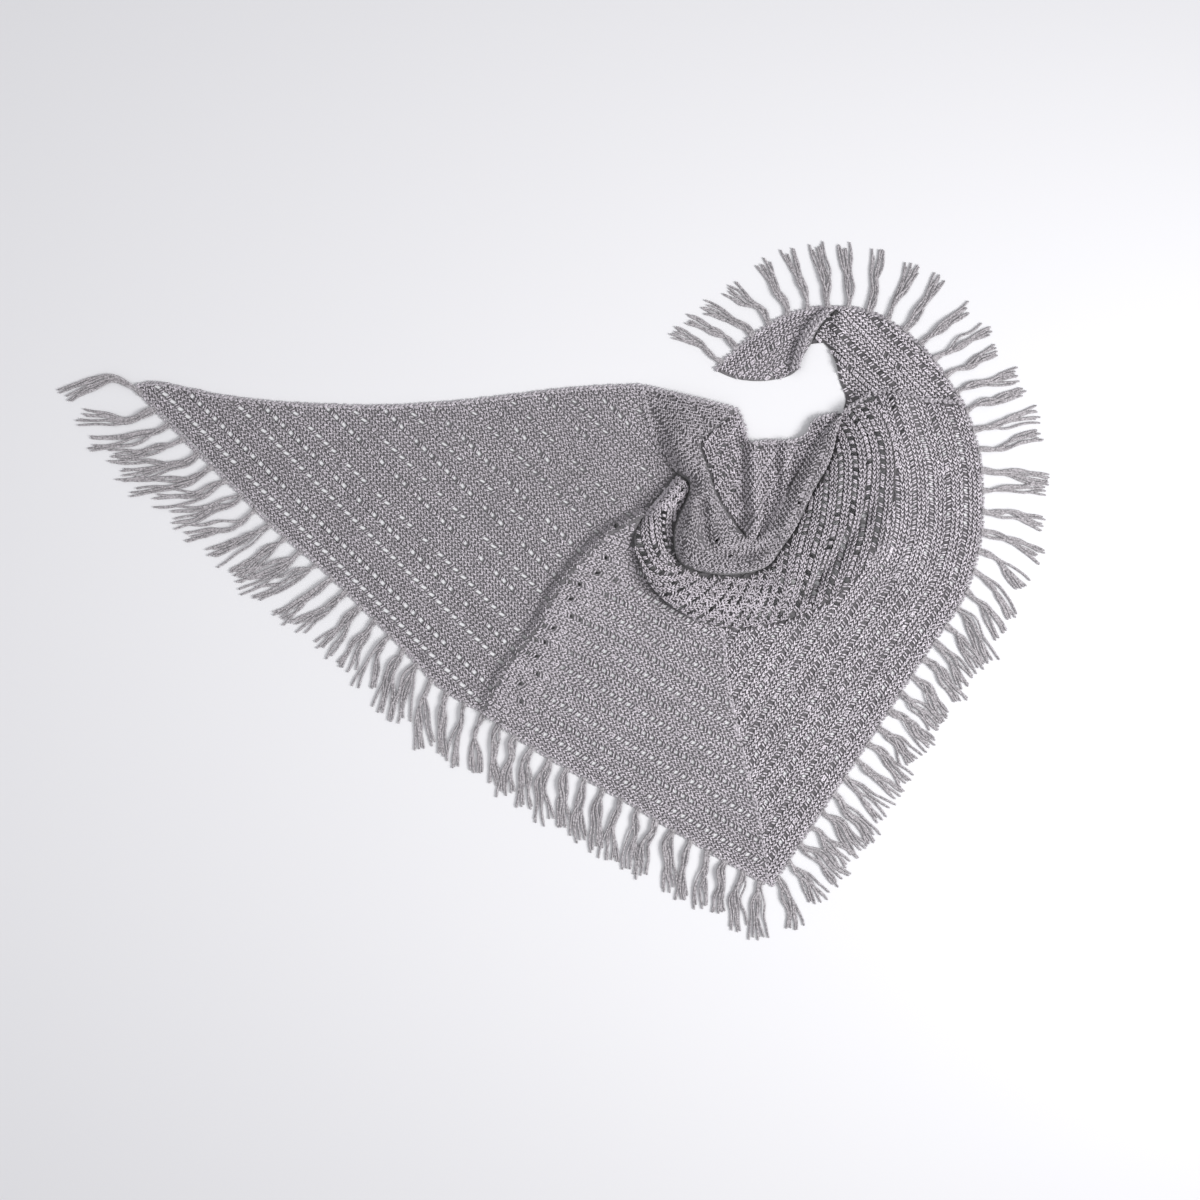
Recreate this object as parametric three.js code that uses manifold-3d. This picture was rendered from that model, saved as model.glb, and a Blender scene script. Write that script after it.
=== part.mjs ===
import * as THREE from "three";
import { mergeVertices } from "three/addons/utils/BufferGeometryUtils.js";
import Module from "manifold-3d";

const wasm = await Module();
wasm.setup();

// A triangular crochet shawl dropped on a flat surface. Its left wing lies spread, its
// middle has slumped into folds and its right wing sweeps up and round to a folded tip.
// Lengths are millimetres, angles are degrees, and heights are above the surface.
const clothThickness = 4;
const seamGap = 0.6;
const foldEndGap = 3;
const heapFloor = 0;

// Cutting prisms reach past every surface, from below the cloth to above the heap.
const cutBottom = -10;
const cutTop = 100;

// Open eyelet rows run parallel to the hems.
const eyelet = {
  length: 6.4,
  width: 4.4,
  lean: 42,
  pitch: 14,
  rows: [19, 44],
  margin: 9,
  clearOfTuck: 76,
  clearOfKnee: 56,
};

// The fringe: tassels of three locks, knotted over the hem at an even pitch.
const tassel = { pitch: 27.5, spread: 2, locks: 3, perStrip: 7 };
const lock = {
  width: 5,
  tipWidth: 3.4,
  height: 4,
  lift: 0.5,
  rootSpacing: 4.2,
  steps: 2,
  sway: 3,
  swayRun: 35,
  unevenness: 0.04,
};
const knotStrip = { width: 6, height: 6, bite: 3 };

const yarnColour = 0x9a969e;
const clothRoughness = 0.95;

// Points closer than the first value are one point. A mitre is held to the second value's
// share, and a narrow fold keeps its clearance to the third value's share of its width.
const mergeDistance = 1e-4;
const sharpestMitre = 0.25;
const largestTrim = 0.45;

// Moves the plan so that its origin is the middle of the shawl's outline.
const planShift = { x: -2.8, y: 0.5 };

// Plan curves, as [x, y].
const selvage = curve([
  [-560, 277], [-528, 280], [-433, 261], [-339, 252], [-231, 249],
  [-136, 254], [-69, 261], [12, 271], [80, 276], [122, 277],
]);
const hemLeft = curve([
  [-560, 277], [-495, 209], [-429, 145], [-366, 83], [-304, 30],
  [-250, -22], [-194, -79], [-147, -128], [-89, -161],
]);
const tuck = curve([
  [-89, -161], [-77, -138], [-55, -99], [-18, -52], [9, -1],
  [32, 29], [66, 65], [93, 84], [123, 99],
]);
const hemCentre = curve([[-89, -161], [-34, -202], [30, -240], [112, -287], [202, -341], [296, -396]]);
const spine = curve([[296, -396], [279, -302], [259, -219], [248, -171], [240, -129], [235, -88], [231, -47]]);
const hemRight = curve([
  [296, -396], [363, -295], [431, -194], [491, -102], [539, -32], [559, 3],
  [570, 36], [578, 76], [580, 117], [578, 164], [570, 209], [554, 253],
]);
const hemTop = curve([
  [554, 253], [532, 286], [509, 318], [487, 340], [463, 358], [440, 371], [414, 379], [385, 381],
]);
const hemTip = curve([
  [385, 381], [360, 380], [333, 375], [308, 365], [286, 352], [265, 337], [244, 318], [223, 298],
]);
const knee = curve([[433, 267], [458, 269], [479, 265], [502, 257], [528, 256], [554, 253]]);
const innerRight = curve([
  [393, 241], [398, 261], [390, 283], [385, 304], [378, 323], [374, 335], [351, 334],
]);
const pinch = curve([[351, 334], [355, 345], [363, 358], [374, 371], [385, 381]]);
const selvageTip = curve([[223, 298], [250, 287], [285, 284], [319, 290], [333, 300], [340, 317], [351, 334]]);
const pouchEdge = curve([
  [251, 245], [261, 221], [265, 200], [289, 202], [323, 202], [344, 210], [352, 226], [366, 234], [393, 241],
]);

// The U-shaped roll at the top of the heap. Each row is a section across it:
// outer x, outer y, inner x, inner y, outer height, crown height, crown place, inner height.
const rollRows = [
  [122, 277, 251, 245, 5, 12, 0.45, 9],
  [127, 253, 239, 234, 5, 16, 0.42, 12],
  [134, 226, 224, 221, 6, 20, 0.4, 14],
  [142, 200, 205, 206, 8, 25, 0.4, 18],
  [158, 178, 202, 191, 10, 29, 0.42, 20],
  [171, 159, 209, 171, 12, 32, 0.45, 22],
  [185, 148, 215, 153, 16, 34, 0.5, 22],
  [186, 134, 220, 137, 18, 36, 0.5, 22],
  [180, 118, 227, 122, 18, 37, 0.5, 22],
  [171, 99, 235, 109, 18, 38, 0.45, 22],
  [166, 80, 243, 97, 18, 38, 0.42, 22],
  [166, 60, 250, 87, 18, 38, 0.4, 21],
  [171, 43, 256, 80, 18, 37, 0.4, 20],
  [185, 32, 261, 75, 18, 36, 0.42, 20],
  [209, 25, 266, 72, 18, 34, 0.42, 18],
  [234, 22, 271, 71, 17, 32, 0.42, 17],
  [258, 24, 277, 72, 16, 30, 0.42, 16],
  [279, 28, 282, 76, 16, 30, 0.45, 16],
  [297, 38, 288, 83, 15, 30, 0.5, 16],
  [310, 57, 294, 94, 14, 30, 0.55, 18],
  [324, 76, 304, 109, 12, 31, 0.58, 20],
  [339, 103, 315, 128, 11, 32, 0.6, 20],
  [350, 128, 325, 146, 10, 32, 0.6, 20],
  [363, 151, 338, 169, 10, 31, 0.6, 18],
  [375, 173, 350, 192, 10, 29, 0.6, 16],
  [382, 196, 360, 210, 10, 26, 0.6, 14],
  [386, 218, 374, 226, 9, 21, 0.55, 12],
  [393, 241, 393, 241, 8, 14, 0.5, 10],
];

// The crescent under the roll, from the tuck round to the knee. Its inner side is the
// roll's outer side, from the row named below on. Each row is a section across it:
// outer x, outer y, outer height, crown height, crown place, inner height, softness.
const crescentStart = 5;
const crescentRows = [
  [171, 159, 5, 10, 0.5, 10, 0],
  [158, 141, 5, 20, 0.5, 16, 0],
  [143, 124, 5, 25, 0.45, 18, 0],
  [123, 99, 5, 27, 0.45, 18, 0],
  [112, 75, 24, 28, 0.4, 18, 0.5],
  [115, 52, 22, 28, 0.4, 18, 0.5],
  [124, 26, 8, 28, 0.35, 18, 0.2],
  [138, 3, 5, 27, 0.35, 18, 0],
  [158, -17, 5, 26, 0.35, 18, 0],
  [188, -34, 5, 24, 0.38, 17, 0],
  [231, -47, 5, 22, 0.4, 16, 0.2],
  [266, -48, 5, 21, 0.42, 16, 0.3],
  [304, -41, 4, 20, 0.45, 15, 0.5],
  [347, -28, 4, 19, 0.5, 14, 0.7],
  [382, -7, 4, 18, 0.55, 13, 0.9],
  [413, 21, 4, 18, 0.6, 12, 1],
  [439, 56, 4, 18, 0.65, 11, 1],
  [455, 97, 4, 18, 0.68, 10, 1],
  [463, 137, 4, 18, 0.68, 10, 1],
  [466, 175, 4, 18, 0.66, 10, 1],
  [462, 207, 4, 18, 0.6, 10, 1],
  [452, 234, 6, 18, 0.55, 9, 1],
  [433, 267, 6, 14, 0.5, 8, 1],
];
const crescentLeftEnd = 3;
const crescentSpine = 10;
const sectionPlaces = [0, 0.08, 0.22, 0.42, 0.62, 0.82, 0.94, 1];

// Ridges in the single layer: a crest line, its height at each end and its width to each side.
// A ridge at a fold's edge starts there at a share of its height.
const edgeShare = 0.3;
const tuckRidge = { heights: [5, 20], rise: 18, fall: 50 };
const kneeRidge = { heights: [14, 2], rise: 8, fall: 40 };
const kneeUnder = { heights: [11, 1], rise: 0, fall: 35 };
const standingRidge = { line: [[393, 369], [387, 346], [394, 306]], heights: [6, 9], fall: 18 };
const braidRidge = {
  line: [[331, 298], [337, 322], [346, 343], [360, 362], [376, 374]],
  heights: [9, 9],
  fall: 14,
};
const tipSwell = { line: [[262, 310], [300, 330]], heights: [3, 4], fall: 26 };

// Grid lines of the layers that aren't flat: from, to and step, or single lines.
// The centre's grid is turned to run along the tuck.
const centreGrid = {
  columns: [...spaced(-36, 32, 5.5), ...spaced(42, 72, 10), 130, 220, 330, 460],
  rows: [-470, -300, -150, ...spaced(-20, 345, 18)],
};
const wingRightGrid = {
  columns: [220, 320, ...spaced(420, 585, 15)],
  rows: [-400, -200, 0, 120, ...spaced(190, 280, 6)],
};
const wingRightTopGrid = { columns: spaced(345, 560, 12), rows: spaced(235, 387, 9) };
const tipGrid = { columns: spaced(215, 391, 9), rows: spaced(280, 387, 9) };
const pouchGrid = { columns: spaced(196, 400, 12), rows: spaced(66, 250, 14) };

// The pouch inside the roll rises from its edge to its foot, with two folds in it.
const pouchSlope = { top: 245, bottom: 80, low: 6, high: 14 };
const pouchFolds = [
  { line: [[278, 205], [278, 151], [279, 124], [282, 99], [271, 78]], heights: [6, 15], fall: 22 },
  { line: [[317, 198], [317, 151], [312, 121]], heights: [5, 9], fall: 20 },
];

// The tassels along each hem: distance from the hem's start, the way they point, their length.
const fringeLeft = [
  [0, 181, 112], [27, 186, 108], [54, 189, 110], [81, 195, 112], [108, 197, 106], [162, 196, 110],
  [216, 199, 104], [243, 207, 96], [275, 213, 92], [330, 211, 96], [400, 213, 90], [430, 231, 78],
  [480, 243, 84], [520, 251, 90], [580, 258, 92], [650, 262, 88], [850, 262, 86], [1050, 264, 80],
  [1094, 270, 78],
];
const fringeRight = [
  [0, 290, 74], [30, 305, 76], [60, 318, 78], [90, 317, 80], [150, 315, 84], [243, 314, 74],
  [353, 309, 76], [438, 304, 82], [478, 310, 84], [512, 320, 84], [554, 337, 88], [594, 350, 91],
  [641, 361, 91], [687, 371, 88], [734, 378, 86], [773, 385, 86], [813, 392, 86], [844, 409, 86],
  [874, 418, 84], [900, 440, 86], [927, 446, 88], [957, 450, 88], [981, 469, 86], [1009, 475, 88],
  [1036, 492, 80], [1062, 505, 78], [1088, 509, 78], [1146, 514, 78],
];

// Plan helpers
function curve(points, steps = 2) {
  const spline = new THREE.SplineCurve(points.map(([x, y]) => new THREE.Vector2(x, y)));
  return spline.getPoints((points.length - 1) * steps).map(p => [p.x, p.y]);
}

function reversed(points) {
  return [...points].reverse();
}

function joined(...curves) {
  return curves.flatMap((points, i) => (i ? points.slice(1) : points));
}

function lengths(points) {
  const sums = [0];
  for (let i = 1; i < points.length; i += 1) {
    const [a, b] = [points[i - 1], points[i]];
    sums.push(sums[i - 1] + Math.hypot(b[0] - a[0], b[1] - a[1]));
  }
  return sums;
}

function placeOn(points, sums, distance) {
  let i = 1;
  while (i < points.length - 1 && sums[i] < distance) {
    i += 1;
  }
  const span = sums[i] - sums[i - 1];
  const t = (distance - sums[i - 1]) / span;
  const [ax, ay] = points[i - 1];
  const [bx, by] = points[i];
  const way = [(bx - ax) / span, (by - ay) / span];
  return { point: [ax + (bx - ax) * t, ay + (by - ay) * t], way };
}

// The columns of a table after its first, read between its rows.
function tableValues(table, at) {
  const last = table[table.length - 1];
  if (at >= last[0]) {
    return last.slice(1);
  }
  const i = Math.max(1, table.findIndex(row => row[0] > at));
  const [a, b] = [table[i - 1], table[i]];
  const t = (at - a[0]) / (b[0] - a[0]);
  return a.slice(1).map((value, k) => value + (b[k + 1] - value) * t);
}

function nearestOn(points, x, y) {
  let best = { distance: Infinity, share: 0 };
  for (let i = 1; i < points.length; i += 1) {
    const [ax, ay] = points[i - 1];
    const [dx, dy] = [points[i][0] - ax, points[i][1] - ay];
    const t = THREE.MathUtils.clamp(((x - ax) * dx + (y - ay) * dy) / (dx * dx + dy * dy), 0, 1);
    const distance = Math.hypot(x - ax - dx * t, y - ay - dy * t);
    if (distance < best.distance) {
      best = { distance, share: (i - 1 + t) / (points.length - 1) };
    }
  }
  return best;
}

function turnedLeft(polygon) {
  let area = 0;
  polygon.forEach(([x, y], i) => {
    const [nx, ny] = polygon[(i + 1) % polygon.length];
    area += x * ny - nx * y;
  });
  return area > 0 ? polygon : reversed(polygon);
}

// Shrinks a closed outline by an even distance.
function shrunk(outline, distance) {
  const polygon = turnedLeft(outline);
  const n = polygon.length;
  return polygon.map(([x, y], i) => {
    const before = polygon[(i + n - 1) % n];
    const after = polygon[(i + 1) % n];
    const a = new THREE.Vector2(x - before[0], y - before[1]).normalize();
    const b = new THREE.Vector2(after[0] - x, after[1] - y).normalize();
    const inward = new THREE.Vector2(-a.y - b.y, a.x + b.x).normalize();
    const reach = distance / Math.max(sharpestMitre, inward.dot(new THREE.Vector2(-a.y, a.x)));
    return [x + inward.x * reach, y + inward.y * reach];
  });
}

function closedOutline(...curves) {
  const points = joined(...curves);
  return points.slice(0, -1);
}

// Height helpers
function swell(distance, rise, fall) {
  if (distance < rise) {
    return THREE.MathUtils.lerp(edgeShare, 1, Math.sin((Math.PI / 2) * (distance / rise)));
  }
  const t = Math.min(1, (distance - rise) / fall);
  return 0.5 + 0.5 * Math.cos(Math.PI * t);
}

function ridgeHeight(ridge, line, x, y) {
  const { distance, share } = nearestOn(line, x, y);
  const [start, end] = ridge.heights;
  return (start + (end - start) * share) * swell(distance, ridge.rise ?? 0, ridge.fall);
}

function sectionHeight(t, outer, crown, place, inner, softness) {
  const rolled = u => Math.sqrt(Math.max(0, 1 - u * u));
  const soft = u => 0.5 + 0.5 * Math.cos(Math.PI * u);
  if (t < place) {
    const u = 1 - t / place;
    return outer + (crown - outer) * THREE.MathUtils.lerp(rolled(u), soft(u), softness);
  }
  const u = (t - place) / (1 - place);
  return inner + (crown - inner) * THREE.MathUtils.lerp(rolled(u), soft(u), softness);
}

// Solids
function geometryOf(positions, triangles) {
  const geometry = new THREE.BufferGeometry();
  geometry.setAttribute("position", new THREE.Float32BufferAttribute(positions, 3));
  geometry.setIndex(triangles);
  return geometry;
}

function solidOf(geometry) {
  const bare = geometry.clone();
  bare.deleteAttribute("normal");
  bare.deleteAttribute("uv");
  const merged = mergeVertices(bare, mergeDistance);
  return new wasm.Manifold(new wasm.Mesh({
    numProp: 3,
    vertProperties: new Float32Array(merged.attributes.position.array),
    triVerts: new Uint32Array(merged.index.array),
  }));
}

function geometryFrom(solid) {
  const mesh = solid.getMesh();
  return geometryOf(Array.from(mesh.vertProperties), Array.from(mesh.triVerts));
}

function prism(outline, bottom, top) {
  const shape = new THREE.Shape(outline.map(([x, y]) => new THREE.Vector2(x, y)));
  const geometry = new THREE.ExtrudeGeometry(shape, { depth: top - bottom, bevelEnabled: false });
  return geometry.translate(0, 0, bottom);
}

// A closed wall over a rectangular grid, with its top and underside given by functions.
// The grid is turned about a corner point.
function gridWall(columns, rows, top, underside, turn) {
  const positions = [];
  const triangles = [];
  const across = columns.length;
  const layer = across * rows.length;
  for (const surface of [top, underside]) {
    for (const v of rows) {
      for (const u of columns) {
        const x = turn.corner[0] + u * Math.cos(turn.angle) - v * Math.sin(turn.angle);
        const y = turn.corner[1] + u * Math.sin(turn.angle) + v * Math.cos(turn.angle);
        positions.push(x, y, surface(x, y));
      }
    }
  }
  const quad = (a, b, c, d) => triangles.push(a, b, c, a, c, d);
  for (let j = 0; j + 1 < rows.length; j += 1) {
    for (let i = 0; i + 1 < across; i += 1) {
      const a = j * across + i;
      quad(a, a + 1, a + across + 1, a + across);
      quad(layer + a, layer + a + across, layer + a + across + 1, layer + a + 1);
    }
  }
  const edge = [];
  for (let i = 0; i < across; i += 1) {
    edge.push(i);
  }
  for (let j = 1; j < rows.length; j += 1) {
    edge.push(j * across + across - 1);
  }
  for (let i = across - 2; i >= 0; i -= 1) {
    edge.push((rows.length - 1) * across + i);
  }
  for (let j = rows.length - 2; j > 0; j -= 1) {
    edge.push(j * across);
  }
  edge.forEach((a, i) => {
    const b = edge[(i + 1) % edge.length];
    quad(layer + a, layer + b, b, a);
  });
  return geometryOf(positions, triangles);
}

function spaced(from, to, step) {
  const count = Math.max(1, Math.round((to - from) / step));
  return Array.from({ length: count + 1 }, (_, i) => from + ((to - from) * i) / count);
}

// A single layer whose top follows a height function, trimmed to its outline in plan.
const unturned = { corner: [0, 0], angle: 0 };

function layer(outline, grid, top, { filled = false, turn = unturned } = {}) {
  const trim = shrunk(outline, seamGap / 2);
  const lower = (x, y) => Math.max(heapFloor, top(x, y) - clothThickness);
  const underside = filled ? () => heapFloor : lower;
  const wall = solidOf(gridWall(grid.columns, grid.rows, top, underside, turn));
  return wall.intersect(solidOf(prism(trim, cutBottom, cutTop)));
}

function eyeletSpots(hem, rowDistance, keep) {
  const sums = lengths(hem);
  const spots = [];
  for (let at = eyelet.pitch; at < sums[sums.length - 1]; at += eyelet.pitch) {
    const { point, way } = placeOn(hem, sums, at);
    const spot = [point[0] - way[1] * rowDistance, point[1] + way[0] * rowDistance];
    if (keep(...spot)) {
      spots.push({ spot, way });
    }
  }
  return spots;
}

// A slanted four-sided eyelet.
function eyeletOutline({ spot, way }) {
  const angle = THREE.MathUtils.degToRad(eyelet.lean);
  const [c, s] = [Math.cos(angle), Math.sin(angle)];
  const lean = [way[0] * c - way[1] * s, way[1] * c + way[0] * s];
  const [l, w] = [eyelet.length / 2, eyelet.width / 2];
  return [
    [spot[0] - lean[0] * l, spot[1] - lean[1] * l],
    [spot[0] + lean[1] * w, spot[1] - lean[0] * w],
    [spot[0] + lean[0] * l, spot[1] + lean[1] * l],
    [spot[0] - lean[1] * w, spot[1] + lean[0] * w],
  ];
}

function withEyelets(solid, spots) {
  const holes = spots.map(s => solidOf(prism(eyeletOutline(s), cutBottom, cutTop)));
  return solid.subtract(wasm.Manifold.union(holes));
}

// A fold that stands on the surface: rows of section points from its outer to its inner side.
function foldSolid(rows) {
  const n = sectionPlaces.length;
  const positions = [];
  const triangles = [];
  rows.forEach(row => {
    const [ox, oy] = row.outer;
    const [ix, iy] = row.inner;
    const span = Math.hypot(ix - ox, iy - oy);
    const trim = Math.min(largestTrim, seamGap / 2 / span);
    sectionPlaces.forEach(t => {
      const u = trim + (1 - 2 * trim) * t;
      const x = ox + (ix - ox) * u;
      const y = oy + (iy - oy) * u;
      positions.push(x, y, sectionHeight(t, ...row.heights));
      positions.push(x, y, heapFloor);
    });
  });
  const at = (j, i, low) => 2 * (j * n + i) + low;
  const quad = (a, b, c, d) => triangles.push(a, b, c, a, c, d);
  for (let j = 0; j + 1 < rows.length; j += 1) {
    for (let i = 0; i + 1 < n; i += 1) {
      quad(at(j, i, 0), at(j + 1, i, 0), at(j + 1, i + 1, 0), at(j, i + 1, 0));
    }
    quad(at(j, 0, 1), at(j, n - 1, 1), at(j + 1, n - 1, 1), at(j + 1, 0, 1));
    quad(at(j, 0, 0), at(j, 0, 1), at(j + 1, 0, 1), at(j + 1, 0, 0));
    quad(at(j, n - 1, 1), at(j, n - 1, 0), at(j + 1, n - 1, 0), at(j + 1, n - 1, 1));
  }
  for (const [j, turn] of [[0, 1], [rows.length - 1, -1]]) {
    for (let i = 1; i + 1 < n; i += 1) {
      const fan = [at(j, 0, 1), at(j, i, 0), at(j, i + 1, 0)];
      triangles.push(...(turn > 0 ? fan : reversed(fan)));
    }
    const first = [at(j, 0, 1), at(j, 0, 0), at(j, 1, 0)];
    const last = [at(j, 0, 1), at(j, n - 1, 0), at(j, n - 1, 1)];
    triangles.push(...(turn > 0 ? first : reversed(first)));
    triangles.push(...(turn > 0 ? last : reversed(last)));
  }
  return outward(positions, triangles);
}

// Drops the unused points of the underside and turns the faces outward.
function outward(positions, triangles) {
  const used = [...new Set(triangles)].sort((a, b) => a - b);
  const place = new Map(used.map((v, i) => [v, i]));
  const points = used.flatMap(v => positions.slice(3 * v, 3 * v + 3));
  const faces = triangles.map(v => place.get(v));
  const pointAt = v => new THREE.Vector3(...points.slice(3 * v, 3 * v + 3));
  let volume = 0;
  for (let i = 0; i < faces.length; i += 3) {
    const [a, b, c] = [pointAt(faces[i]), pointAt(faces[i + 1]), pointAt(faces[i + 2])];
    volume += a.dot(b.cross(c));
  }
  return geometryOf(points, volume > 0 ? faces : reversed(faces));
}

// Shifts the first and the last section toward their neighbours, clear of what they meet.
function withClearEnds(rows, startGap, endGap) {
  const moved = rows.map(row => ({ ...row }));
  const middle = row => [(row.outer[0] + row.inner[0]) / 2, (row.outer[1] + row.inner[1]) / 2];
  const shift = (from, to, gap) => {
    const [a, b] = [middle(from), middle(to)];
    const size = Math.hypot(b[0] - a[0], b[1] - a[1]);
    const step = [((b[0] - a[0]) * gap) / size, ((b[1] - a[1]) * gap) / size];
    from.outer = [from.outer[0] + step[0], from.outer[1] + step[1]];
    from.inner = [from.inner[0] + step[0], from.inner[1] + step[1]];
  };
  shift(moved[0], moved[1], startGap);
  shift(moved[moved.length - 1], moved[moved.length - 2], endGap);
  return moved;
}

// The fringe on one stretch of hem: a strip of knots with the locks rooted in it.
function fringeSolid(hem, sums, from, to, roots, table) {
  const stops = [from, ...sums.filter(s => s > from + 1 && s < to - 1), to];
  const side = offset => stops.map(s => {
    const { point, way } = placeOn(hem, sums, s);
    return [point[0] + way[1] * offset, point[1] - way[0] * offset];
  });
  const inner = side(seamGap / 2);
  const outer = side(seamGap / 2 + knotStrip.width);
  let solid = solidOf(prism(turnedLeft([...inner, ...reversed(outer)]), heapFloor, knotStrip.height));
  const locks = [];
  for (const root of roots) {
    const { point, way } = placeOn(hem, sums, root);
    const [angle, length] = tableValues(table, root);
    const sway = lock.sway * Math.sin(root / lock.swayRun);
    for (let k = 0; k < tassel.locks; k += 1) {
      const place = k - (tassel.locks - 1) / 2;
      const shift = place * lock.rootSpacing;
      const start = [
        point[0] + way[1] * knotStrip.bite + way[0] * shift,
        point[1] - way[0] * knotStrip.bite + way[1] * shift,
      ];
      const reach = length * (1 + lock.unevenness * Math.sin(root + k));
      locks.push(solidOf(lockGeometry(start, angle + place * tassel.spread, reach, sway)));
    }
  }
  return solid.add(wasm.Manifold.union(locks));
}

// A three-sided lock of yarn that lies just above the surface and narrows to its tip.
function lockGeometry(start, angle, reach, sway) {
  const along = THREE.MathUtils.degToRad(angle);
  const ahead = [Math.cos(along), Math.sin(along)];
  const aside = [-ahead[1], ahead[0]];
  const positions = [];
  const triangles = [];
  for (let i = 0; i <= lock.steps; i += 1) {
    const t = i / lock.steps;
    const bend = sway * Math.sin(Math.PI * t);
    const half = THREE.MathUtils.lerp(lock.width, lock.tipWidth, t) / 2;
    const x = start[0] + ahead[0] * reach * t + aside[0] * bend;
    const y = start[1] + ahead[1] * reach * t + aside[1] * bend;
    positions.push(x + aside[0] * half, y + aside[1] * half, lock.lift);
    positions.push(x - aside[0] * half, y - aside[1] * half, lock.lift);
    positions.push(x, y, lock.lift + lock.height);
  }
  for (let i = 0; i < lock.steps; i += 1) {
    for (let k = 0; k < 3; k += 1) {
      const a = 3 * i + k;
      const b = 3 * i + ((k + 1) % 3);
      triangles.push(a, a + 3, b, b, a + 3, b + 3);
    }
  }
  const end = 3 * lock.steps;
  triangles.push(0, 1, 2, end, end + 2, end + 1);
  return outward(positions, triangles);
}

// The pieces
const shawl = new THREE.Group();
shawl.position.set(planShift.x, planShift.y, 0);

const yarnMaterial = new THREE.MeshStandardMaterial({
  color: yarnColour,
  roughness: clothRoughness,
  metalness: 0,
});

function addPiece(name, geometry) {
  const mesh = new THREE.Mesh(geometry, yarnMaterial);
  mesh.name = name;
  shawl.add(mesh);
}

const rollOuter = rollRows.map(r => [r[0], r[1]]);
const rollInner = rollRows.map(r => [r[2], r[3]]);
const crescentOuter = crescentRows.map(r => [r[0], r[1]]);

function inside(outline, x, y, margin) {
  let crossings = false;
  outline.forEach(([ax, ay], i) => {
    const [bx, by] = outline[(i + 1) % outline.length];
    if (ay > y !== by > y && x < ax + ((bx - ax) * (y - ay)) / (by - ay)) {
      crossings = !crossings;
    }
  });
  return crossings && nearestOn([...outline, outline[0]], x, y).distance > margin;
}

function wingLeft() {
  const outline = closedOutline(
    selvage,
    rollOuter.slice(0, crescentStart + 1),
    crescentOuter.slice(0, crescentLeftEnd + 1),
    reversed(tuck),
    reversed(hemLeft),
  );
  const keep = (x, y) => inside(outline, x, y, eyelet.margin);
  const spots = eyelet.rows.flatMap(row => eyeletSpots(hemLeft, row, keep));
  const solid = solidOf(prism(shrunk(outline, seamGap / 2), heapFloor, clothThickness));
  return geometryFrom(withEyelets(solid, spots));
}

function centreLeft() {
  const outline = closedOutline(
    hemCentre,
    spine,
    reversed(crescentOuter.slice(crescentLeftEnd, crescentSpine + 1)),
    reversed(tuck),
  );
  const top = (x, y) => clothThickness + ridgeHeight(tuckRidge, tuck, x, y);
  const [start, end] = [tuck[0], tuck[tuck.length - 1]];
  const turn = { corner: start, angle: Math.atan2(end[1] - start[1], end[0] - start[0]) - Math.PI / 2 };
  const solid = layer(outline, centreGrid, top, { turn });
  const keep = (x, y) => inside(outline, x, y, eyelet.margin)
    && nearestOn(tuck, x, y).distance > eyelet.clearOfTuck;
  const spots = eyelet.rows.flatMap(row => eyeletSpots(hemCentre, row, keep));
  return geometryFrom(withEyelets(solid, spots));
}

function wingRight() {
  const outline = closedOutline(
    hemRight,
    reversed(knee),
    reversed(crescentOuter.slice(crescentSpine)),
    reversed(spine),
  );
  const top = (x, y) => clothThickness + ridgeHeight(kneeRidge, knee, x, y);
  const solid = layer(outline, wingRightGrid, top);
  const keep = (x, y) => inside(outline, x, y, eyelet.margin)
    && nearestOn(knee, x, y).distance > eyelet.clearOfKnee;
  return geometryFrom(withEyelets(solid, eyeletSpots(hemRight, eyelet.rows[0], keep)));
}

function wingRightTop() {
  const foldEnds = [rollOuter[rollOuter.length - 1], crescentOuter[crescentOuter.length - 1]];
  const outline = closedOutline(knee, hemTop, reversed(pinch), reversed(innerRight), foldEnds);
  const top = (x, y) => clothThickness
    + ridgeHeight(kneeUnder, knee, x, y)
    + ridgeHeight(standingRidge, standingRidge.line, x, y);
  return geometryFrom(layer(outline, wingRightTopGrid, top));
}

function tipRight() {
  const outline = closedOutline(hemTip, selvageTip, pinch);
  const top = (x, y) => clothThickness
    + ridgeHeight(braidRidge, braidRidge.line, x, y)
    + ridgeHeight(tipSwell, tipSwell.line, x, y);
  return geometryFrom(layer(outline, tipGrid, top));
}

function pouch() {
  const outline = closedOutline(pouchEdge, reversed(rollInner));
  const top = (x, y) => {
    const down = THREE.MathUtils.smoothstep(pouchSlope.top - y, 0, pouchSlope.top - pouchSlope.bottom);
    const base = THREE.MathUtils.lerp(pouchSlope.low, pouchSlope.high, down);
    return base + Math.max(...pouchFolds.map(fold => ridgeHeight(fold, fold.line, x, y)));
  };
  return geometryFrom(layer(outline, pouchGrid, top, { filled: true }));
}

function roll() {
  const rows = rollRows.map((r, i) => ({
    outer: rollOuter[i],
    inner: rollInner[i],
    heights: [...r.slice(4), 0],
  }));
  return foldSolid(withClearEnds(rows, 0, foldEndGap));
}

function crescent() {
  const rows = crescentRows.map((r, i) => ({
    outer: crescentOuter[i],
    inner: rollOuter[i + crescentStart],
    heights: r.slice(2),
  }));
  return foldSolid(withClearEnds(rows, foldEndGap, seamGap));
}

addPiece("wing_left", wingLeft());
addPiece("centre_left", centreLeft());
addPiece("wing_right", wingRight());
addPiece("wing_right_top", wingRightTop());
addPiece("tip_right", tipRight());
addPiece("fold_pouch", pouch());
addPiece("fold_roll", roll());
addPiece("fold_crescent", crescent());

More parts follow.
